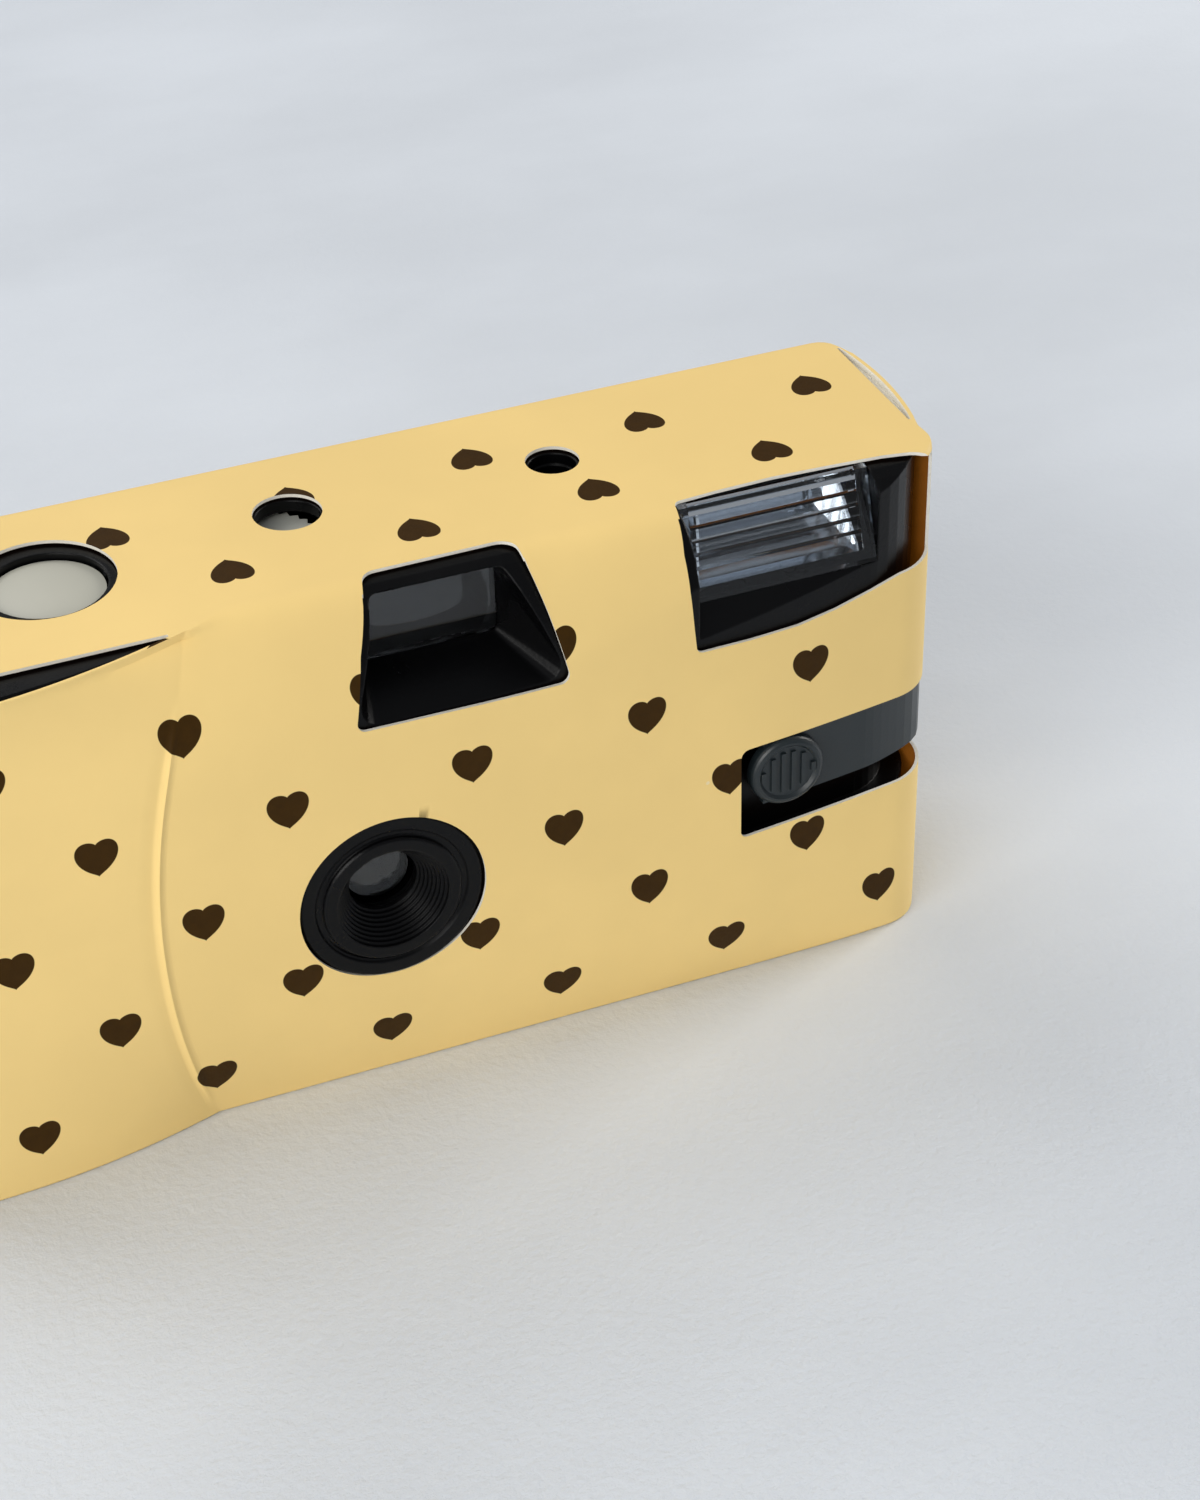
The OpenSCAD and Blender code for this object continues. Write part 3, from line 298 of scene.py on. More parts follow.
def moulded(name, rgb, rough, grain, depth, coat=0.0, gloss=0.5, edge=0.0):
    """Moulded plastic: fine spark-eroded grain, slightly uneven gloss and colour."""
    s = Shade(name)
    grain_field = s.noise(grain, detail=2)
    cloud = s.noise(90, detail=4)
    colour_field = s.mix(s.math("MULTIPLY", cloud, MOULD_WEAR), tint(rgb, 0.9), tint(rgb, 1.35))
    s.set(Base_Color=colour_field, Roughness=s.span(cloud, 0.3, 0.7, rough - 0.06, rough + 0.07),
          Specular_IOR_Level=gloss, Normal=s.bump(grain_field, depth, 0.00008, s.bevel(edge) if edge else None))
    if coat:
        s.set(Coat_Weight=coat, Coat_Roughness=0.2)
    return s.mat


def metal(name, rgb, rough, stretch=(400, 400, 40), depth=0.05):
    """Sheet or wire metal with fine drawn lines."""
    s = Shade(name)
    lines = s.noise(6, s.scaled(s.coords(), stretch), detail=3)
    s.set(Base_Color=s.mix(lines, tint(rgb, 0.86), tint(rgb, 1.05)), Metallic=1.0,
          Roughness=s.span(lines, 0.3, 0.7, rough * 0.8, rough * 1.25), Normal=s.bump(lines, depth, 0.00004))
    return s.mat


def clear(name, rgb, rough, ior, haze):
    """Clear moulded plastic with faint haze and dust."""
    s = Shade(name)
    dust = s.noise(700, detail=4)
    s.set(Base_Color=rgb, Transmission_Weight=1.0, IOR=ior,
          Roughness=s.span(dust, 0.45, 0.8, rough, rough + haze * 0.2), Normal=s.bump(s.noise(60), 0.004, 0.0001))
    return s.mat


def paint(node, mat):
    """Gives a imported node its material."""
    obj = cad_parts[node]
    if not obj.material_slots:
        obj.data.materials.append(mat)
    for slot in obj.material_slots:
        slot.material = mat


# Shape of the card sleeve, in millimetres

ROLL_TOP_H, ROLL_TOP_D = 14.7, 7.1
ROLL_LOW_H, ROLL_LOW_D = 25.7, 4.5
ROLL_TOP_Z = SLEEVE_H - ROLL_TOP_H
FRONT_RECEDE = 3.3
CORNER_R, GRIP_R, BACK_R = 6.0, 9.0, 2.5
CORNER_X, GRIP_X = HALF_W - CORNER_R, -(HALF_W - GRIP_R)
RECEDE_X = 46.0
CORNER_TILT = math.atan(2 * FRONT_RECEDE * CORNER_X / RECEDE_X ** 2)
CORNER_START = CORNER_X + CORNER_R * math.sin(CORNER_TILT)
SLIT_Y = 4.65
CREASE_X, CREASE_BOW, CREASE_Z = -27.4, 6.6, 26.0
GRIP_EDGE_LOW, GRIP_EDGE_TOP = 0.4, -0.7
SOFT_MAX = 6
SIDE_BOW, SIDE_FREE = 0.95, 24.0
SIDE_Y0, SIDE_Y1 = 12.6, SLEEVE_D - 2.2
RIDGE_H, RIDGE_W = 0.24, 0.3
GROOVE_H, GROOVE_W, GROOVE_AT = 0.12, 0.35, 0.7


def plan_y(x):
    return 0.0 if x < 0 else FRONT_RECEDE * (x / RECEDE_X) ** 2


CORNER_Y = plan_y(CORNER_START) + CORNER_R * math.cos(CORNER_TILT)


def roll_y(z):
    if z > ROLL_TOP_Z:
        t = min(1.0, (z - ROLL_TOP_Z) / ROLL_TOP_H)
        return ROLL_TOP_D * (1 - math.sqrt(1 - t * t))
    return ROLL_LOW_D * (1 - z / ROLL_LOW_H) ** 2 if z < ROLL_LOW_H else 0.0


def soft_max(a, b):
    return (max(a, 0) ** SOFT_MAX + max(b, 0) ** SOFT_MAX) ** (1 / SOFT_MAX)


def crease_at(z):
    return CREASE_X + CREASE_BOW * ((z - CREASE_Z) / (SLEEVE_H - CREASE_Z)) ** 2


def grip_edge(z):
    return (GRIP_EDGE_LOW if 2 * z < SLEEVE_H else GRIP_EDGE_TOP) * abs(2 * z / SLEEVE_H - 1) ** 4


def grip_y(x, z):
    edge = grip_edge(z)
    t = (x - GRIP_X) / (crease_at(z) - GRIP_X)
    return edge + (min(roll_y(z), SLIT_Y) - edge) * t * t


def step01(t):
    t = max(0.0, min(1.0, t))
    return t * t * (3 - 2 * t)


def trunk_y(x, z):
    """Front of the body right of the crease, easing from the grip panel's edge into the roll."""
    y = soft_max(plan_y(x), roll_y(z))
    if y > SLIT_Y:
        y = SLIT_Y + (y - SLIT_Y) * step01((x - crease_at(z)) / 5)
    return y


def side_bow(y, z):
    """How far the right end, not joined to the top panel, springs outwards."""
    t = (y - SIDE_Y0) / (SIDE_Y1 - SIDE_Y0)
    if t <= 0 or t >= 1:
        return 0.0
    return SIDE_BOW * math.sin(math.pi * t) ** 0.8 * step01((z - SLEEVE_H + SIDE_FREE) / SIDE_FREE)


def score_bead(offset):
    """Small ridge of the scored crease, beside a shallow groove."""
    ridge = -RIDGE_H * math.exp(-(offset / RIDGE_W) ** 2)
    return ridge + GROOVE_H * math.exp(-((offset + GROOVE_AT) / GROOVE_W) ** 2)


def sleeve_level(z, fold):
    """Outline of the sleeve at a height: (x, y, u) points, counterclockwise from the grip end.

    u is the unfolded distance along the wrap, with 0 at the middle of the front."""
    pts = []
    edge = grip_edge(z)
    crease = crease_at(z)
    u_grip = GRIP_X - GRIP_R * math.pi / 2
    for k in range(10):
        a = math.radians(180 + 9 * k)
        pts.append((GRIP_X + GRIP_R * math.cos(a), GRIP_R + edge + GRIP_R * math.sin(a),
                    u_grip + GRIP_R * math.radians(9 * k)))
    near = (-2.2, -1.3, -0.8, -0.45, -0.2, 0.0, 0.2, 0.45, 0.8, 1.3, 2.2)
    for k in range(18):
        x = GRIP_X + (crease + near[0] - GRIP_X) * k / 18
        pts.append((x, grip_y(x, z), x))
    for d in near:
        x = crease + d
        y = grip_y(x, z) if d < 0 else trunk_y(x, z)
        fade = step01((z - 1) / 6) * step01((SLEEVE_H - 4 - z) / 8)
        pts.append((x, y + score_bead(d) * fade, x))
    x0 = crease + near[-1]
    count = 62
    for k in range(1, count + 1):
        x = x0 + (CORNER_START - x0) * k / count
        pts.append((x, trunk_y(x, z), x))
    arc0 = CORNER_TILT - math.pi / 2
    for k in range(1, 13):
        a = arc0 * (1 - k / 12)
        y = soft_max(CORNER_Y + CORNER_R * math.sin(a), roll_y(z))
        pts.append((CORNER_X + CORNER_R * math.cos(a), y, CORNER_START + CORNER_R * (a - arc0)))
    u = CORNER_START - CORNER_R * arc0
    side = SLEEVE_D - BACK_R - CORNER_Y
    for k in range(1, 13):
        y = CORNER_Y + side * k / 12
        pts.append((HALF_W + side_bow(y, z), y, u + side * k / 12))
    u += side
    for k in range(1, 6):
        a = math.radians(18 * k)
        pts.append((HALF_W - BACK_R + BACK_R * math.cos(a), SLEEVE_D - BACK_R + BACK_R * math.sin(a),
                    u + BACK_R * a))
    u += BACK_R * math.pi / 2
    back = 2 * (HALF_W - BACK_R)
    for k in range(1, 45):
        pts.append((HALF_W - BACK_R - back * k / 44, SLEEVE_D, u + back * k / 44))
    u += back
    for k in range(1, 6):
        a = math.radians(90 + 18 * k)
        pts.append((-HALF_W + BACK_R + BACK_R * math.cos(a), SLEEVE_D - BACK_R + BACK_R * math.sin(a),
                    u + BACK_R * (a - math.pi / 2)))
    u += BACK_R * math.pi / 2
    left = SLEEVE_D - BACK_R - GRIP_R - edge
    for k in range(1, 8):
        pts.append((-HALF_W, SLEEVE_D - BACK_R - left * k / 8, u + left * k / 8))
    return fold_in(pts, z, fold)


def fold_in(pts, z, fold):
    """Rounds the folds at the base and, away from the rolled front, at the top."""
    low = max(0.0, fold - z) / fold
    high = max(0.0, z - (SLEEVE_H - fold)) / fold
    if not low and not high:
        return pts
    pull_low = fold * (1 - math.sqrt(max(0.0, 1 - low * low)))
    pull_high = fold * (1 - math.sqrt(max(0.0, 1 - high * high)))
    out = []
    n = len(pts)
    for i, (x, y, u) in enumerate(pts):
        ax, ay, _ = pts[i - 1]
        bx, by, _ = pts[(i + 1) % n]
        dx, dy = bx - ax, by - ay
        size = math.hypot(dx, dy) or 1.0
        free = step01((x - HALF_W + 0.6) / 0.4) * step01((y - SIDE_Y0) / 0.8) * step01((SIDE_Y1 - y) / 0.8)
        pull = pull_low + pull_high * step01((y - ROLL_TOP_D - 1) / 5) * (1 - free)
        out.append((x - dy / size * pull, y + dx / size * pull, u))
    return out


def sleeve_heights(fold):
    zs = [fold * (1 - math.cos(math.radians(a))) for a in (0, 18, 36, 54, 72, 90)]
    zs += [fold + (ROLL_LOW_H - fold) * k / 13 for k in range(1, 14)]
    zs += [ROLL_LOW_H + (ROLL_TOP_Z - ROLL_LOW_H) * k / 9 for k in range(1, 10)]
    zs += [ROLL_TOP_Z + ROLL_TOP_H * math.sin(math.radians(a)) for a in range(5, 91, 5)]
    return zs


PRINT_TOP_X, PRINT_TOP_Z, PRINT_TOP_Y = 8.8, 38.0, 13.3
PRINT_SEAM = 2.5
# Each inset stays under BACK_R, or the cap crosses itself at the back corners
CAP_INSETS = (0.5, 1.2)


def sleeve_shell(fold, mats):
    """Closed outer skin of the sleeve with its print map in millimetres."""
    levels = [(z, sleeve_level(z, fold)) for z in sleeve_heights(fold)]
    n = len(levels[0][1])
    verts, faces, prints = [], [], []
    for z, pts in levels:
        verts += [to_row(x, y, z) for x, y, _ in pts]
    for j in range(len(levels) - 1):
        for i in range(n):
            k = (i + 1) % n
            faces.append([j * n + i, j * n + k, (j + 1) * n + k, (j + 1) * n + i])
            corner = []
            for jj, ii in ((j, i), (j, k), (j + 1, k), (j + 1, i)):
                u = levels[jj][1][ii][2]
                if k == 0 and ii == 0:
                    u = levels[jj][1][n - 1][2] + PRINT_SEAM
                corner.append((u, levels[jj][0]))
            prints.append(corner)
    for top in (False, True):
        z, pts = levels[-1 if top else 0]
        first = (len(levels) - 1) * n if top else 0
        ring = list(range(first, first + n))
        flat = [(x, y) for x, y, _ in pts]
        for inset in CAP_INSETS:
            start = len(verts)
            inner = inset_loop([(x, y) for x, y, _ in pts], inset)
            verts += [to_row(x, y, z) for x, y in inner]
            new = list(range(start, start + n))
            for i in range(n):
                k = (i + 1) % n
                quad = [ring[i], ring[k], new[k], new[i]]
                uv = [flat[i], flat[k], inner[k], inner[i]]
                faces.append(quad if top else quad[::-1])
                prints.append([cap_print(p, top) for p in (uv if top else uv[::-1])])
            ring, flat = new, inner
        faces.append(ring if top else ring[::-1])
        prints.append([cap_print(p, top) for p in (flat if top else flat[::-1])])
    obj = new_object("card_wrap", verts, faces, mats)
    layer = obj.data.uv_layers.new(name="print")
    for poly, corner in zip(obj.data.polygons, prints):
        for loop, uv in zip(poly.loop_indices, corner):
            layer.data[loop].uv = uv
    return obj


def inset_loop(pts, inset):
    """Outline moved towards its own middle, for the flat caps."""
    out = []
    n = len(pts)
    for i, (x, y) in enumerate(pts):
        ax, ay = pts[i - 1]
        bx, by = pts[(i + 1) % n]
        dx, dy = bx - ax, by - ay
        size = math.hypot(dx, dy) or 1.0
        out.append((x - dy / size * inset, y + dx / size * inset))
    return out


def cap_print(p, top):
    x, y = p
    if top:
        return (PRINT_TOP_X - x, PRINT_TOP_Z - (y - PRINT_TOP_Y))
    return (x, -y)


# Card materials

HEART_U, HEART_V = 41.2, 38.0
BARE_X, BARE_HALF, BARE_DROP = -32.4, 4.0, 0.8
PRINT_MARGIN = 2.5


def heart_mask(s, u, v, settings, shift_u, shift_v):
    """1 inside the hearts of one of the two staggered lattices."""
    pitch, row, half = settings.pitch / MM, 2 * settings.row / MM, settings.heart_r / MM

    def within(value, shift, step):
        """Distance from the middle of its cell, in half widths of a heart."""
        cell = s.math("FLOORED_MODULO", s.math("SUBTRACT", value, shift - step / 2), step)
        return s.math("DIVIDE", s.math("SUBTRACT", cell, step / 2), half)

    hx, hy = within(u, shift_u, pitch), within(v, shift_v, row)
    xx = s.math("MULTIPLY", hx, hx)
    yy = s.math("MULTIPLY", hy, hy)
    base = s.math("SUBTRACT", s.math("ADD", xx, yy), 1.0)
    lobe = s.math("MULTIPLY", s.math("POWER", xx, 1 / 3), hy)
    return s.span(s.math("SUBTRACT", base, lobe), -0.03, 0.03, 1.0, 0.0)


def printed_card(settings):
    """Coated card with the staggered heart print, a few specks and a soft sheen."""
    s = Shade("card_print")
    uv = s.tree.nodes.new("ShaderNodeUVMap")
    uv.uv_map = "print"
    split = s.tree.nodes.new("ShaderNodeSeparateXYZ")
    s.put(split.inputs[0], uv.outputs[0])
    u, v = split.outputs[0], split.outputs[1]
    pitch, row = settings.pitch / MM, settings.row / MM
    hearts = s.math("MAXIMUM", heart_mask(s, u, v, settings, HEART_U, HEART_V),
                    heart_mask(s, u, v, settings, HEART_U + pitch / 2, HEART_V - row))
    place = s.tree.nodes.new("ShaderNodeSeparateXYZ")
    s.put(place.inputs[0], s.coords())
    aside = s.math("ABSOLUTE", s.math("SUBTRACT", place.outputs[0], BARE_X * MM))
    beside = s.math("LESS_THAN", aside, BARE_HALF * MM)
    on_top = s.math("GREATER_THAN", place.outputs[2], (SLEEVE_H - BARE_DROP) * MM)
    bare = s.math("MULTIPLY", beside, on_top)
    hearts = s.math("MULTIPLY", hearts, s.math("SUBTRACT", 1.0, bare))
    hearts = s.math("MULTIPLY", hearts, s.math("LESS_THAN", v, SLEEVE_H - PRINT_MARGIN))
    cloud = s.noise(28, detail=4)
    fibre = s.noise(5200, s.scaled(s.coords(), (1, 1, 0.35)), detail=3)
    ground = s.mix(s.span(cloud, 0.3, 0.75), tint(settings.ground, 0.95), tint(settings.ground, 1.04))
    ink = s.mix(s.noise(900, detail=4), tint(settings.motif, 0.75), tint(settings.motif, 1.25))
    printed = s.mix(hearts, ground, ink)
    speck = s.math("MULTIPLY", s.span(s.voronoi(190), 0.03, 0.05, 1.0, 0.0), s.span(s.noise(60), 0.6, 0.68))
    printed = s.mix(s.math("MULTIPLY", speck, 0.75), printed, settings.cut_edge)
    wave = s.noise(22, detail=2)
    normal = s.bump(wave, 0.12, 0.0006)
    s.set(Base_Color=printed, Roughness=s.span(fibre, 0.3, 0.7, 0.42, 0.54), Specular_IOR_Level=0.1,
          Normal=s.bump(fibre, 0.05, 0.00003, normal))
    return s.mat


def cut_paper(settings):
    """White core of the card where it is cut, with torn fibres."""
    s = Shade("card_cut_edge")
    fibre = s.noise(4200, detail=5)
    s.set(Base_Color=s.mix(fibre, tint(settings.cut_edge, 0.78), settings.cut_edge), Roughness=0.85,
          Normal=s.bump(fibre, 0.5, 0.0001))
    return s.mat


def raw_card_painted_glow(settings):
    """Unprinted inside of the card: partly its own kraft tone, partly a painted glow of light shining through the
    card.
    """
    s = Shade("card_inside_painted_glow")
    fibre = s.noise(1800, detail=5)
    # Painted glow: a faint emission makes the inside glow as if lit through the card, though it is no lamp.
    s.set(Base_Color=s.mix(fibre, tint(settings.inside, 0.7), settings.inside), Roughness=0.8,
          Emission_Color=settings.inside, Emission_Strength=0.05, Normal=s.bump(fibre, 0.3, 0.0001))
    return s.mat


# Cut-outs of the sleeve

LENS_X, LENS_Z, RING_R = -4.36, 24.74, 9.4
FINDER_X = 3.2
KNOB_X, KNOB_Z = 38.7, 26.25
SLOT_LEFT, SLOT_DOWN, SLOT_UP = 5.4, 6.6, 4.2
EYE_HALF, EYE_Z0, EYE_Z1 = 4.6, 49.4, 55.8
WHEEL_X0, WHEEL_X1, WHEEL_Z0, WHEEL_Z1 = -50.5, -26.5, 43.84, 52.44
SLIT_REACH, SLIT_OPEN = 1.6, 0.33
BUTTON = (-30.6, 18.65, 7.0)
COUNTER = (-6.0, 21.0, 3.4)
READY = (20.9, 19.9, 2.7)
CARD_GAP = 0.15
CUT_END = 12.2
CUT_DEPTH = 2.5


def slit_outline():
    z = SLEEVE_H
    start = crease_at(z) - SLIT_REACH
    far = GRIP_X - GRIP_R / 2
    along = [start + (GRIP_X - start) * k / 14 for k in range(15)]
    edge = [(x, grip_y(x, z) + SLIT_OPEN) for x in along]
    return edge + [(far, SLIT_Y), (start, SLIT_Y + 0.1)]


def box_outline(x0, x1, z0, z1, radii):
    return rounded([(x0, z0), (x1, z0), (x1, z1), (x0, z1)], radii)


def sleeve_cutters(mat):
    """Every opening of the sleeve as a prism that carries the cut-edge finish."""
    over, deep = SLEEVE_H + 1, SLEEVE_H - CUT_DEPTH
    end, roof = HALF_W + 3, SLEEVE_H - 0.5
    finder = rounded([(14.95, 44.8), (13.3, 52.2), (12.35, 56.0), (12.1, over), (-3.3, over), (-4.05, 56.0),
                      (-5.35, 52.2), (-6.75, 45.0)], [0.9, 2, 2, 0.01, 0.01, 2, 2, 0.8])
    finder_top = rounded([(12.25, 4.5), (11.9, 7.8), (-2.95, 7.65), (-3.85, 4.5)], [0.01, 1.9, 1.7, 0.01])
    flash = rounded([(28.35, 43.85), (34.5, 43.5), (39.7, 43.4), (44.0, 43.85), (48.3, 44.65), (51.6, 45.4),
                     (end, 45.8), (end, roof), (28.1, roof), (27.66, 54.4), (27.69, 50.9), (28.05, 46.8)],
                    [0.8, 2, 2, 2, 2, 2, 0.01, 0.01, 0.01, 2, 2, 2])
    flash_top = rounded([(28.15, 4.5), (end, 4.5), (end, 5.8), (55.5, 6.3), (53.6, 7.0), (50.8, 7.5), (45.0, 7.9),
                         (39.2, 8.15), (33.2, 7.95), (28.6, 7.6)], [0.01, 0.01, 0.01, 1, 1, 1, 1, 1, 1, 0.9])
    slot = box_outline(KNOB_X - SLOT_LEFT, end, KNOB_Z - SLOT_DOWN, KNOB_Z + SLOT_UP, [0.8, 0.3, 0.3, 0.9])
    gap_y = [SIDE_Y0 + 0.3 + (SIDE_Y1 - SIDE_Y0 - 0.6) * k / 12 for k in range(13)]
    gap = [(HALF_W - 0.6, y) for y in gap_y]
    gap += [(HALF_W - 0.43 + side_bow(y, SLEEVE_H), y) for y in reversed(gap_y)]
    eye = box_outline(FINDER_X - EYE_HALF, FINDER_X + EYE_HALF, EYE_Z0, EYE_Z1, 1)
    wheel = box_outline(WHEEL_X0, WHEEL_X1, WHEEL_Z0, WHEEL_Z1, 2)
    inner, outer = SLEEVE_D - CUT_DEPTH, SLEEVE_D + 1
    made = [prism("cut_lens", circle(LENS_X, LENS_Z, RING_R + CARD_GAP, 96), -1, 9, "y", [mat]),
            prism("cut_finder", finder, -1, 5.0, "y", [mat]),
            prism("cut_finder_top", finder_top, deep, over, "z", [mat]),
            prism("cut_flash", flash, -1, 7.7, "y", [mat]),
            prism("cut_flash_top", flash_top, deep, over, "z", [mat]),
            prism("cut_slot", slot, -1, CUT_END, "y", [mat]),
            prism("cut_side_gap", gap, SLEEVE_H - 0.8, over, "z", [mat]),
            prism("cut_slit", slit_outline(), deep, over, "z", [mat]),
            prism("cut_eyepiece", eye, inner, outer, "y", [mat]),
            prism("cut_wheel", wheel, inner, outer, "y", [mat])]
    made += [prism("cut_top%d" % k, circle(x, y, r), deep, over, "z", [mat])
             for k, (x, y, r) in enumerate((BUTTON, COUNTER, READY))]
    return made


class FC_OT_sleeve(bpy.types.Operator):
    """Builds the folded card sleeve with its print and cut-outs"""
    bl_idname = "film_camera.sleeve"
    bl_label = "Card sleeve"

    def execute(self, context):
        card = context.scene.fc_card
        print_mat, edge_mat, inside_glow_mat = printed_card(card), cut_paper(card), raw_card_painted_glow(card)
        obj = sleeve_shell(card.fold / MM, [print_mat, edge_mat, inside_glow_mat])
        solid = obj.modifiers.new("card", "SOLIDIFY")
        solid.thickness = card.thickness
        solid.offset = -1
        solid.material_offset = 2
        solid.material_offset_rim = 1
        apply_modifiers(obj)
        cutters = sleeve_cutters(edge_mat)
        for cutter in cutters:
            cut = obj.modifiers.new(cutter.name, "BOOLEAN")
            cut.operation = "DIFFERENCE"
            cut.solver = "EXACT"
            cut.material_mode = "TRANSFER"
            cut.object = cutter
            cut.use_self = cutter.name == "cut_slit"
        apply_modifiers(obj)
        for cutter in cutters:
            bpy.data.objects.remove(cutter)
        smooth(obj, 30)
        even = obj.modifiers.new("even_normals", "WEIGHTED_NORMAL")
        even.keep_sharp = True
        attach(obj, "camera")
        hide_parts("card_sleeve")
        return {"FINISHED"}


class FC_OT_mouldings(bpy.types.Operator):
    """Gives the black mouldings and the inner pieces their finishes"""
    bl_idname = "film_camera.mouldings"
    bl_label = "Mouldings and inner pieces"

    def execute(self, context):
        m = context.scene.fc_moulding
        black = moulded("black_moulding", m.black, m.roughness, 2400, 0.2, gloss=0.17, edge=0.0003)
        for node in ("front_cover", "rear_cover", "thumb_wheel"):
            paint(node, black)
        dull = moulded("dull_black_moulding", tint(m.black, 0.7), 0.6, 1800, 0.2, gloss=0.1)
        for node in ("chassis", "lens_retainer", "cartridge_spool", "shutter_blade"):
            paint(node, dull)
        lens = clear("lens_plastic", (0.86, 0.9, 0.93), 0.01, 1.49, 0.02)
        for node in ("taking_lens", "viewfinder_front_lens", "eyepiece_lens", "flash_lens"):
            paint(node, lens)
        paint("flash_reflector", metal("bright_reflector", srgb(232, 234, 238), 0.12, (40, 40, 40), 0.03))
        paint("flash_tube", clear("tube_glass", (0.9, 0.93, 0.96), 0.02, 1.47, 0.1))
        paint("flash_lever", moulded("slate_moulding", m.slate, 0.38, 2600, 0.12))
        paint("release_button", moulded("button_moulding", m.button, 0.36, 2200, 0.06))
        paint("counter_dial", moulded("dial_moulding", m.dial, 0.4, 1600, 0.05))
        paint("ready_lamp", moulded("lamp_lens", srgb(210, 92, 40), 0.25, 900, 0.03))
        paint("flash_board", moulded("board_green", srgb(40, 104, 62), 0.45, 800, 0.1))
        brass = metal("contact_brass", srgb(206, 172, 96), 0.3)
        for node in ("charge_contact", "sync_contact"):
            paint(node, brass)
        nickel = metal("nickel_strap", srgb(200, 198, 192), 0.28)
        for node in ("battery_contact_top", "battery_contact_bottom", "striker_lever"):
            paint(node, nickel)
        paint("flash_transformer", moulded("coil_tape", srgb(206, 160, 48), 0.4, 700, 0.15))
        paint("flash_capacitor", moulded("can_sleeve", srgb(28, 36, 70), 0.35, 300, 0.05))
        paint("battery", moulded("cell_wrap", srgb(52, 88, 150), 0.3, 260, 0.04, coat=0.4))
        paint("cartridge_shell", metal("cartridge_steel", srgb(92, 96, 104), 0.35))
        film = moulded("film_base", srgb(86, 50, 38), 0.22, 500, 0.03)
        for node in ("film_strip", "film_roll"):
            paint(node, film)
        pale = moulded("pale_moulding", srgb(214, 212, 200), 0.42, 1800, 0.06)
        for node in ("sprocket_shaft", "release_lever"):
            paint(node, pale)
        return {"FINISHED"}


# Stage

TABLE_HALF = 1.6
CAMERA_AT = (-72.1, -231.5, 211.7)
SENSOR_W = 36
ROOM_TONE, ROOM_LIGHT = (0.86, 0.9, 0.96, 1), 0.32
LAMP_AIM = (0, 0, 0.03)
# Name, place, size, power and tone of each lamp
LAMPS = (("front_softbox", (-0.55, -0.5, 0.38), (0.6, 0.5), 5.0, (1, 0.99, 0.96)),
         ("back_window", (-0.35, 0.6, 0.7), (0.8, 0.5), 3.4, (1, 0.99, 0.97)),
         ("side_window", (0.8, 0.15, 0.36), (0.3, 0.45), 4.4, (1, 0.98, 0.94)))


def table_finish(settings):
    """Pale painted table with soft mottling and a fine tooth."""
    s = Shade("pale_table")
    cloud = s.noise(7, s.scaled(s.coords(), (1, 1.6, 1)), detail=5)
    tooth = s.noise(900, detail=4, rough=0.6)
    split = s.tree.nodes.new("ShaderNodeSeparateXYZ")
    s.put(split.inputs[0], s.coords())
    near = s.span(split.outputs[1], -0.14, 0.02, 1.0, 0.12)
    s.set(Base_Color=s.mix(s.span(cloud, 0.3, 0.7), tint(settings.floor, 0.92), tint(settings.floor, 1.05)),
          Roughness=0.75, Normal=s.bump(s.math("MULTIPLY", tooth, near), 0.6, 0.0009))
    return s.mat


def area_lamp(name, place, size, power, tone):
    data = bpy.data.lights.new(name, "AREA")
    data.shape = "RECTANGLE"
    data.size, data.size_y = size
    data.energy = power
    data.color = tone
    obj = bpy.data.objects.new(name, data)
    bpy.context.scene.collection.objects.link(obj)
    obj.location = place
    obj.rotation_euler = (Vector(LAMP_AIM) - Vector(place)).to_track_quat("-Z", "Y").to_euler()


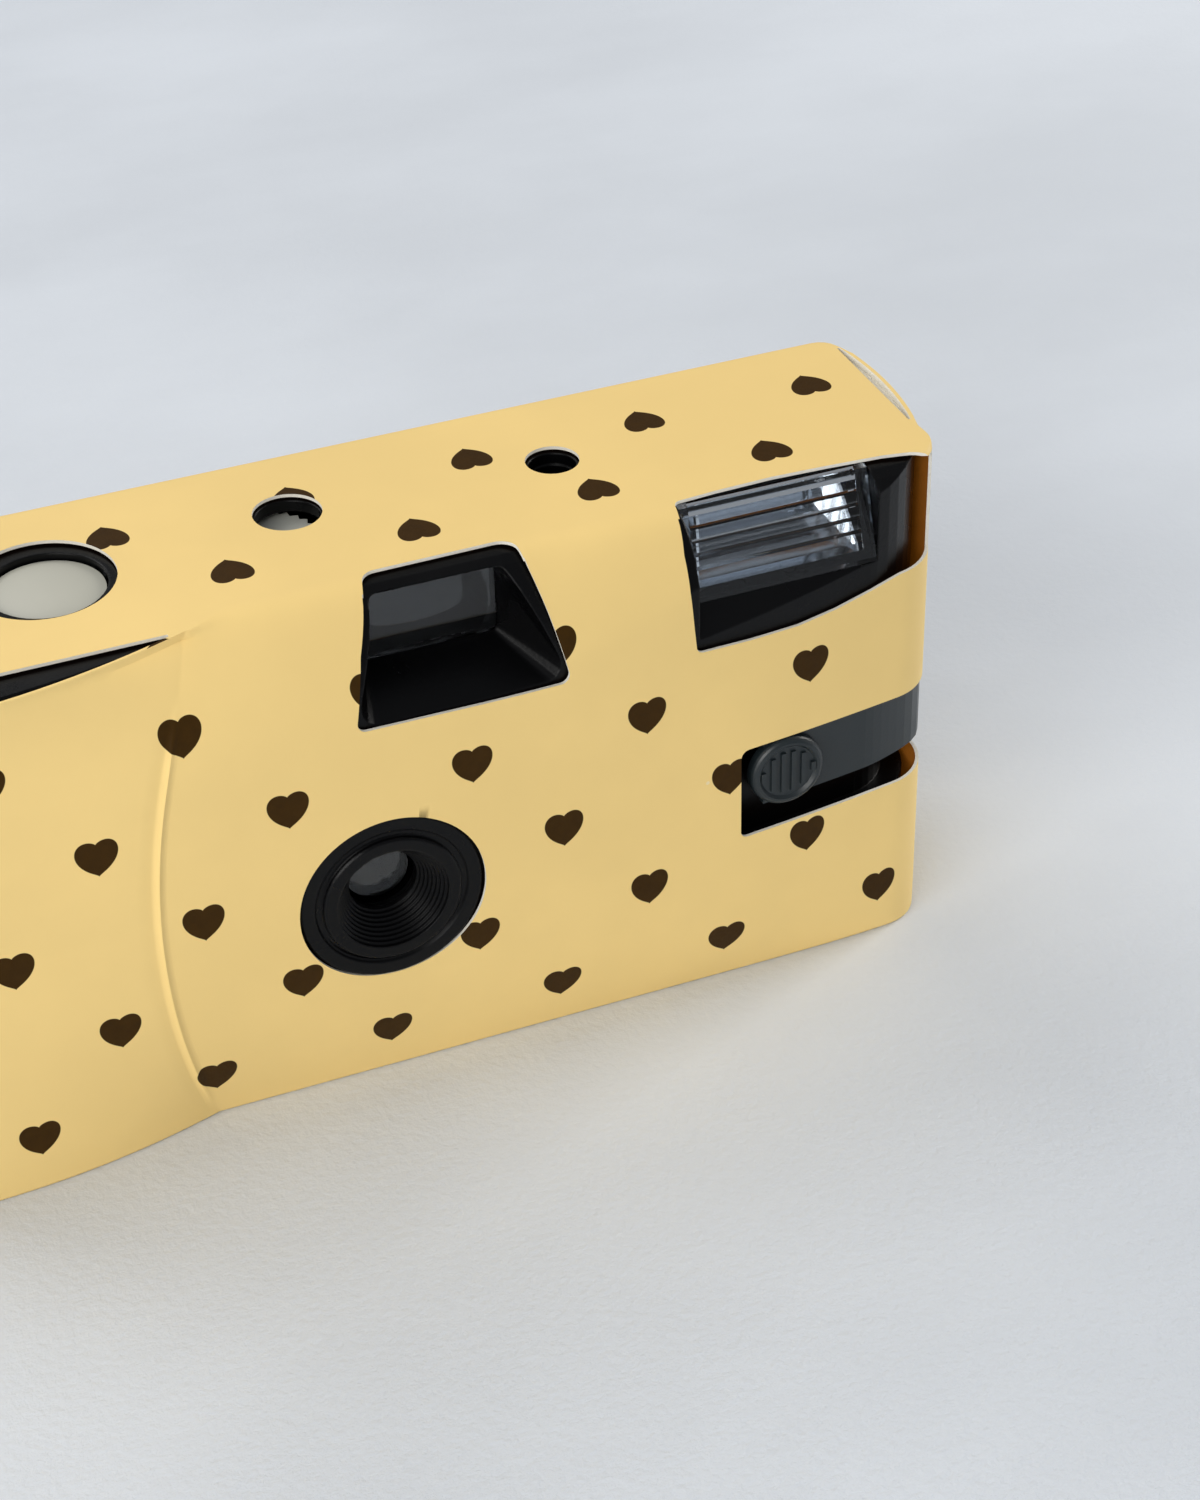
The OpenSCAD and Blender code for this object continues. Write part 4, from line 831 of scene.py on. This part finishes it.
class FC_OT_stage(bpy.types.Operator):
    """Builds the table, the soft lights and the camera"""
    bl_idname = "film_camera.stage"
    bl_label = "Stage"

    def execute(self, context):
        scene = context.scene
        st = scene.fc_stage
        wide = TABLE_HALF
        floor = new_object("table_top", [(-wide, -wide, 0), (wide, -wide, 0), (wide, wide, 0), (-wide, wide, 0)],
                           [[0, 1, 2, 3]], [table_finish(st)])
        for lamp in LAMPS:
            area_lamp(*lamp)
        world = bpy.data.worlds.new("soft_room")
        world.use_nodes = True
        room = world.node_tree.nodes["Background"]
        room.inputs[0].default_value = ROOM_TONE
        room.inputs[1].default_value = ROOM_LIGHT
        scene.world = world
        scene.view_settings.view_transform = "Standard"
        data = bpy.data.cameras.new("photo_camera")
        data.lens = st.focal
        data.sensor_fit = "AUTO"
        data.sensor_width = SENSOR_W
        cam = bpy.data.objects.new("photo_camera", data)
        scene.collection.objects.link(cam)
        cam.location = to_row(*CAMERA_AT)
        az, el = st.azimuth, st.elevation
        look = Vector((-math.sin(az) * math.cos(el), math.cos(az) * math.cos(el), -math.sin(el)))
        turn = look.to_track_quat("-Z", "Y")
        cam.rotation_mode = "QUATERNION"
        cam.rotation_quaternion = turn @ Quaternion((0, 0, 1), st.roll)
        scene.camera = cam
        return {"FINISHED"}


class FC_PT_panel(bpy.types.Panel):
    """Lists the builders of the film camera"""
    bl_idname = "FC_PT_panel"
    bl_label = "Film Camera"
    bl_space_type = "VIEW_3D"
    bl_region_type = "UI"
    bl_category = "Film Camera"

    def draw(self, context):
        layout = self.layout
        for operator in OPERATORS:
            layout.operator(operator.bl_idname)
        for group in (context.scene.fc_card, context.scene.fc_moulding, context.scene.fc_stage):
            box = layout.box()
            for key in group.bl_rna.properties.keys():
                if key not in ("rna_type", "name"):
                    box.prop(group, key)


OPERATORS = (FC_OT_stage, FC_OT_sleeve, FC_OT_mouldings)
CLASSES = (FC_CardSettings, FC_MouldingSettings, FC_StageSettings) + OPERATORS + (FC_PT_panel,)


def register():
    for cls in CLASSES:
        bpy.utils.register_class(cls)
    bpy.types.Scene.fc_card = PointerProperty(type=FC_CardSettings)
    bpy.types.Scene.fc_moulding = PointerProperty(type=FC_MouldingSettings)
    bpy.types.Scene.fc_stage = PointerProperty(type=FC_StageSettings)


def unregister():
    del bpy.types.Scene.fc_stage, bpy.types.Scene.fc_moulding, bpy.types.Scene.fc_card
    for cls in reversed(CLASSES):
        bpy.utils.unregister_class(cls)


def main():
    register()
    bpy.ops.film_camera.stage()
    bpy.ops.film_camera.sleeve()
    bpy.ops.film_camera.mouldings()


if __name__ == "__main__":
    main()
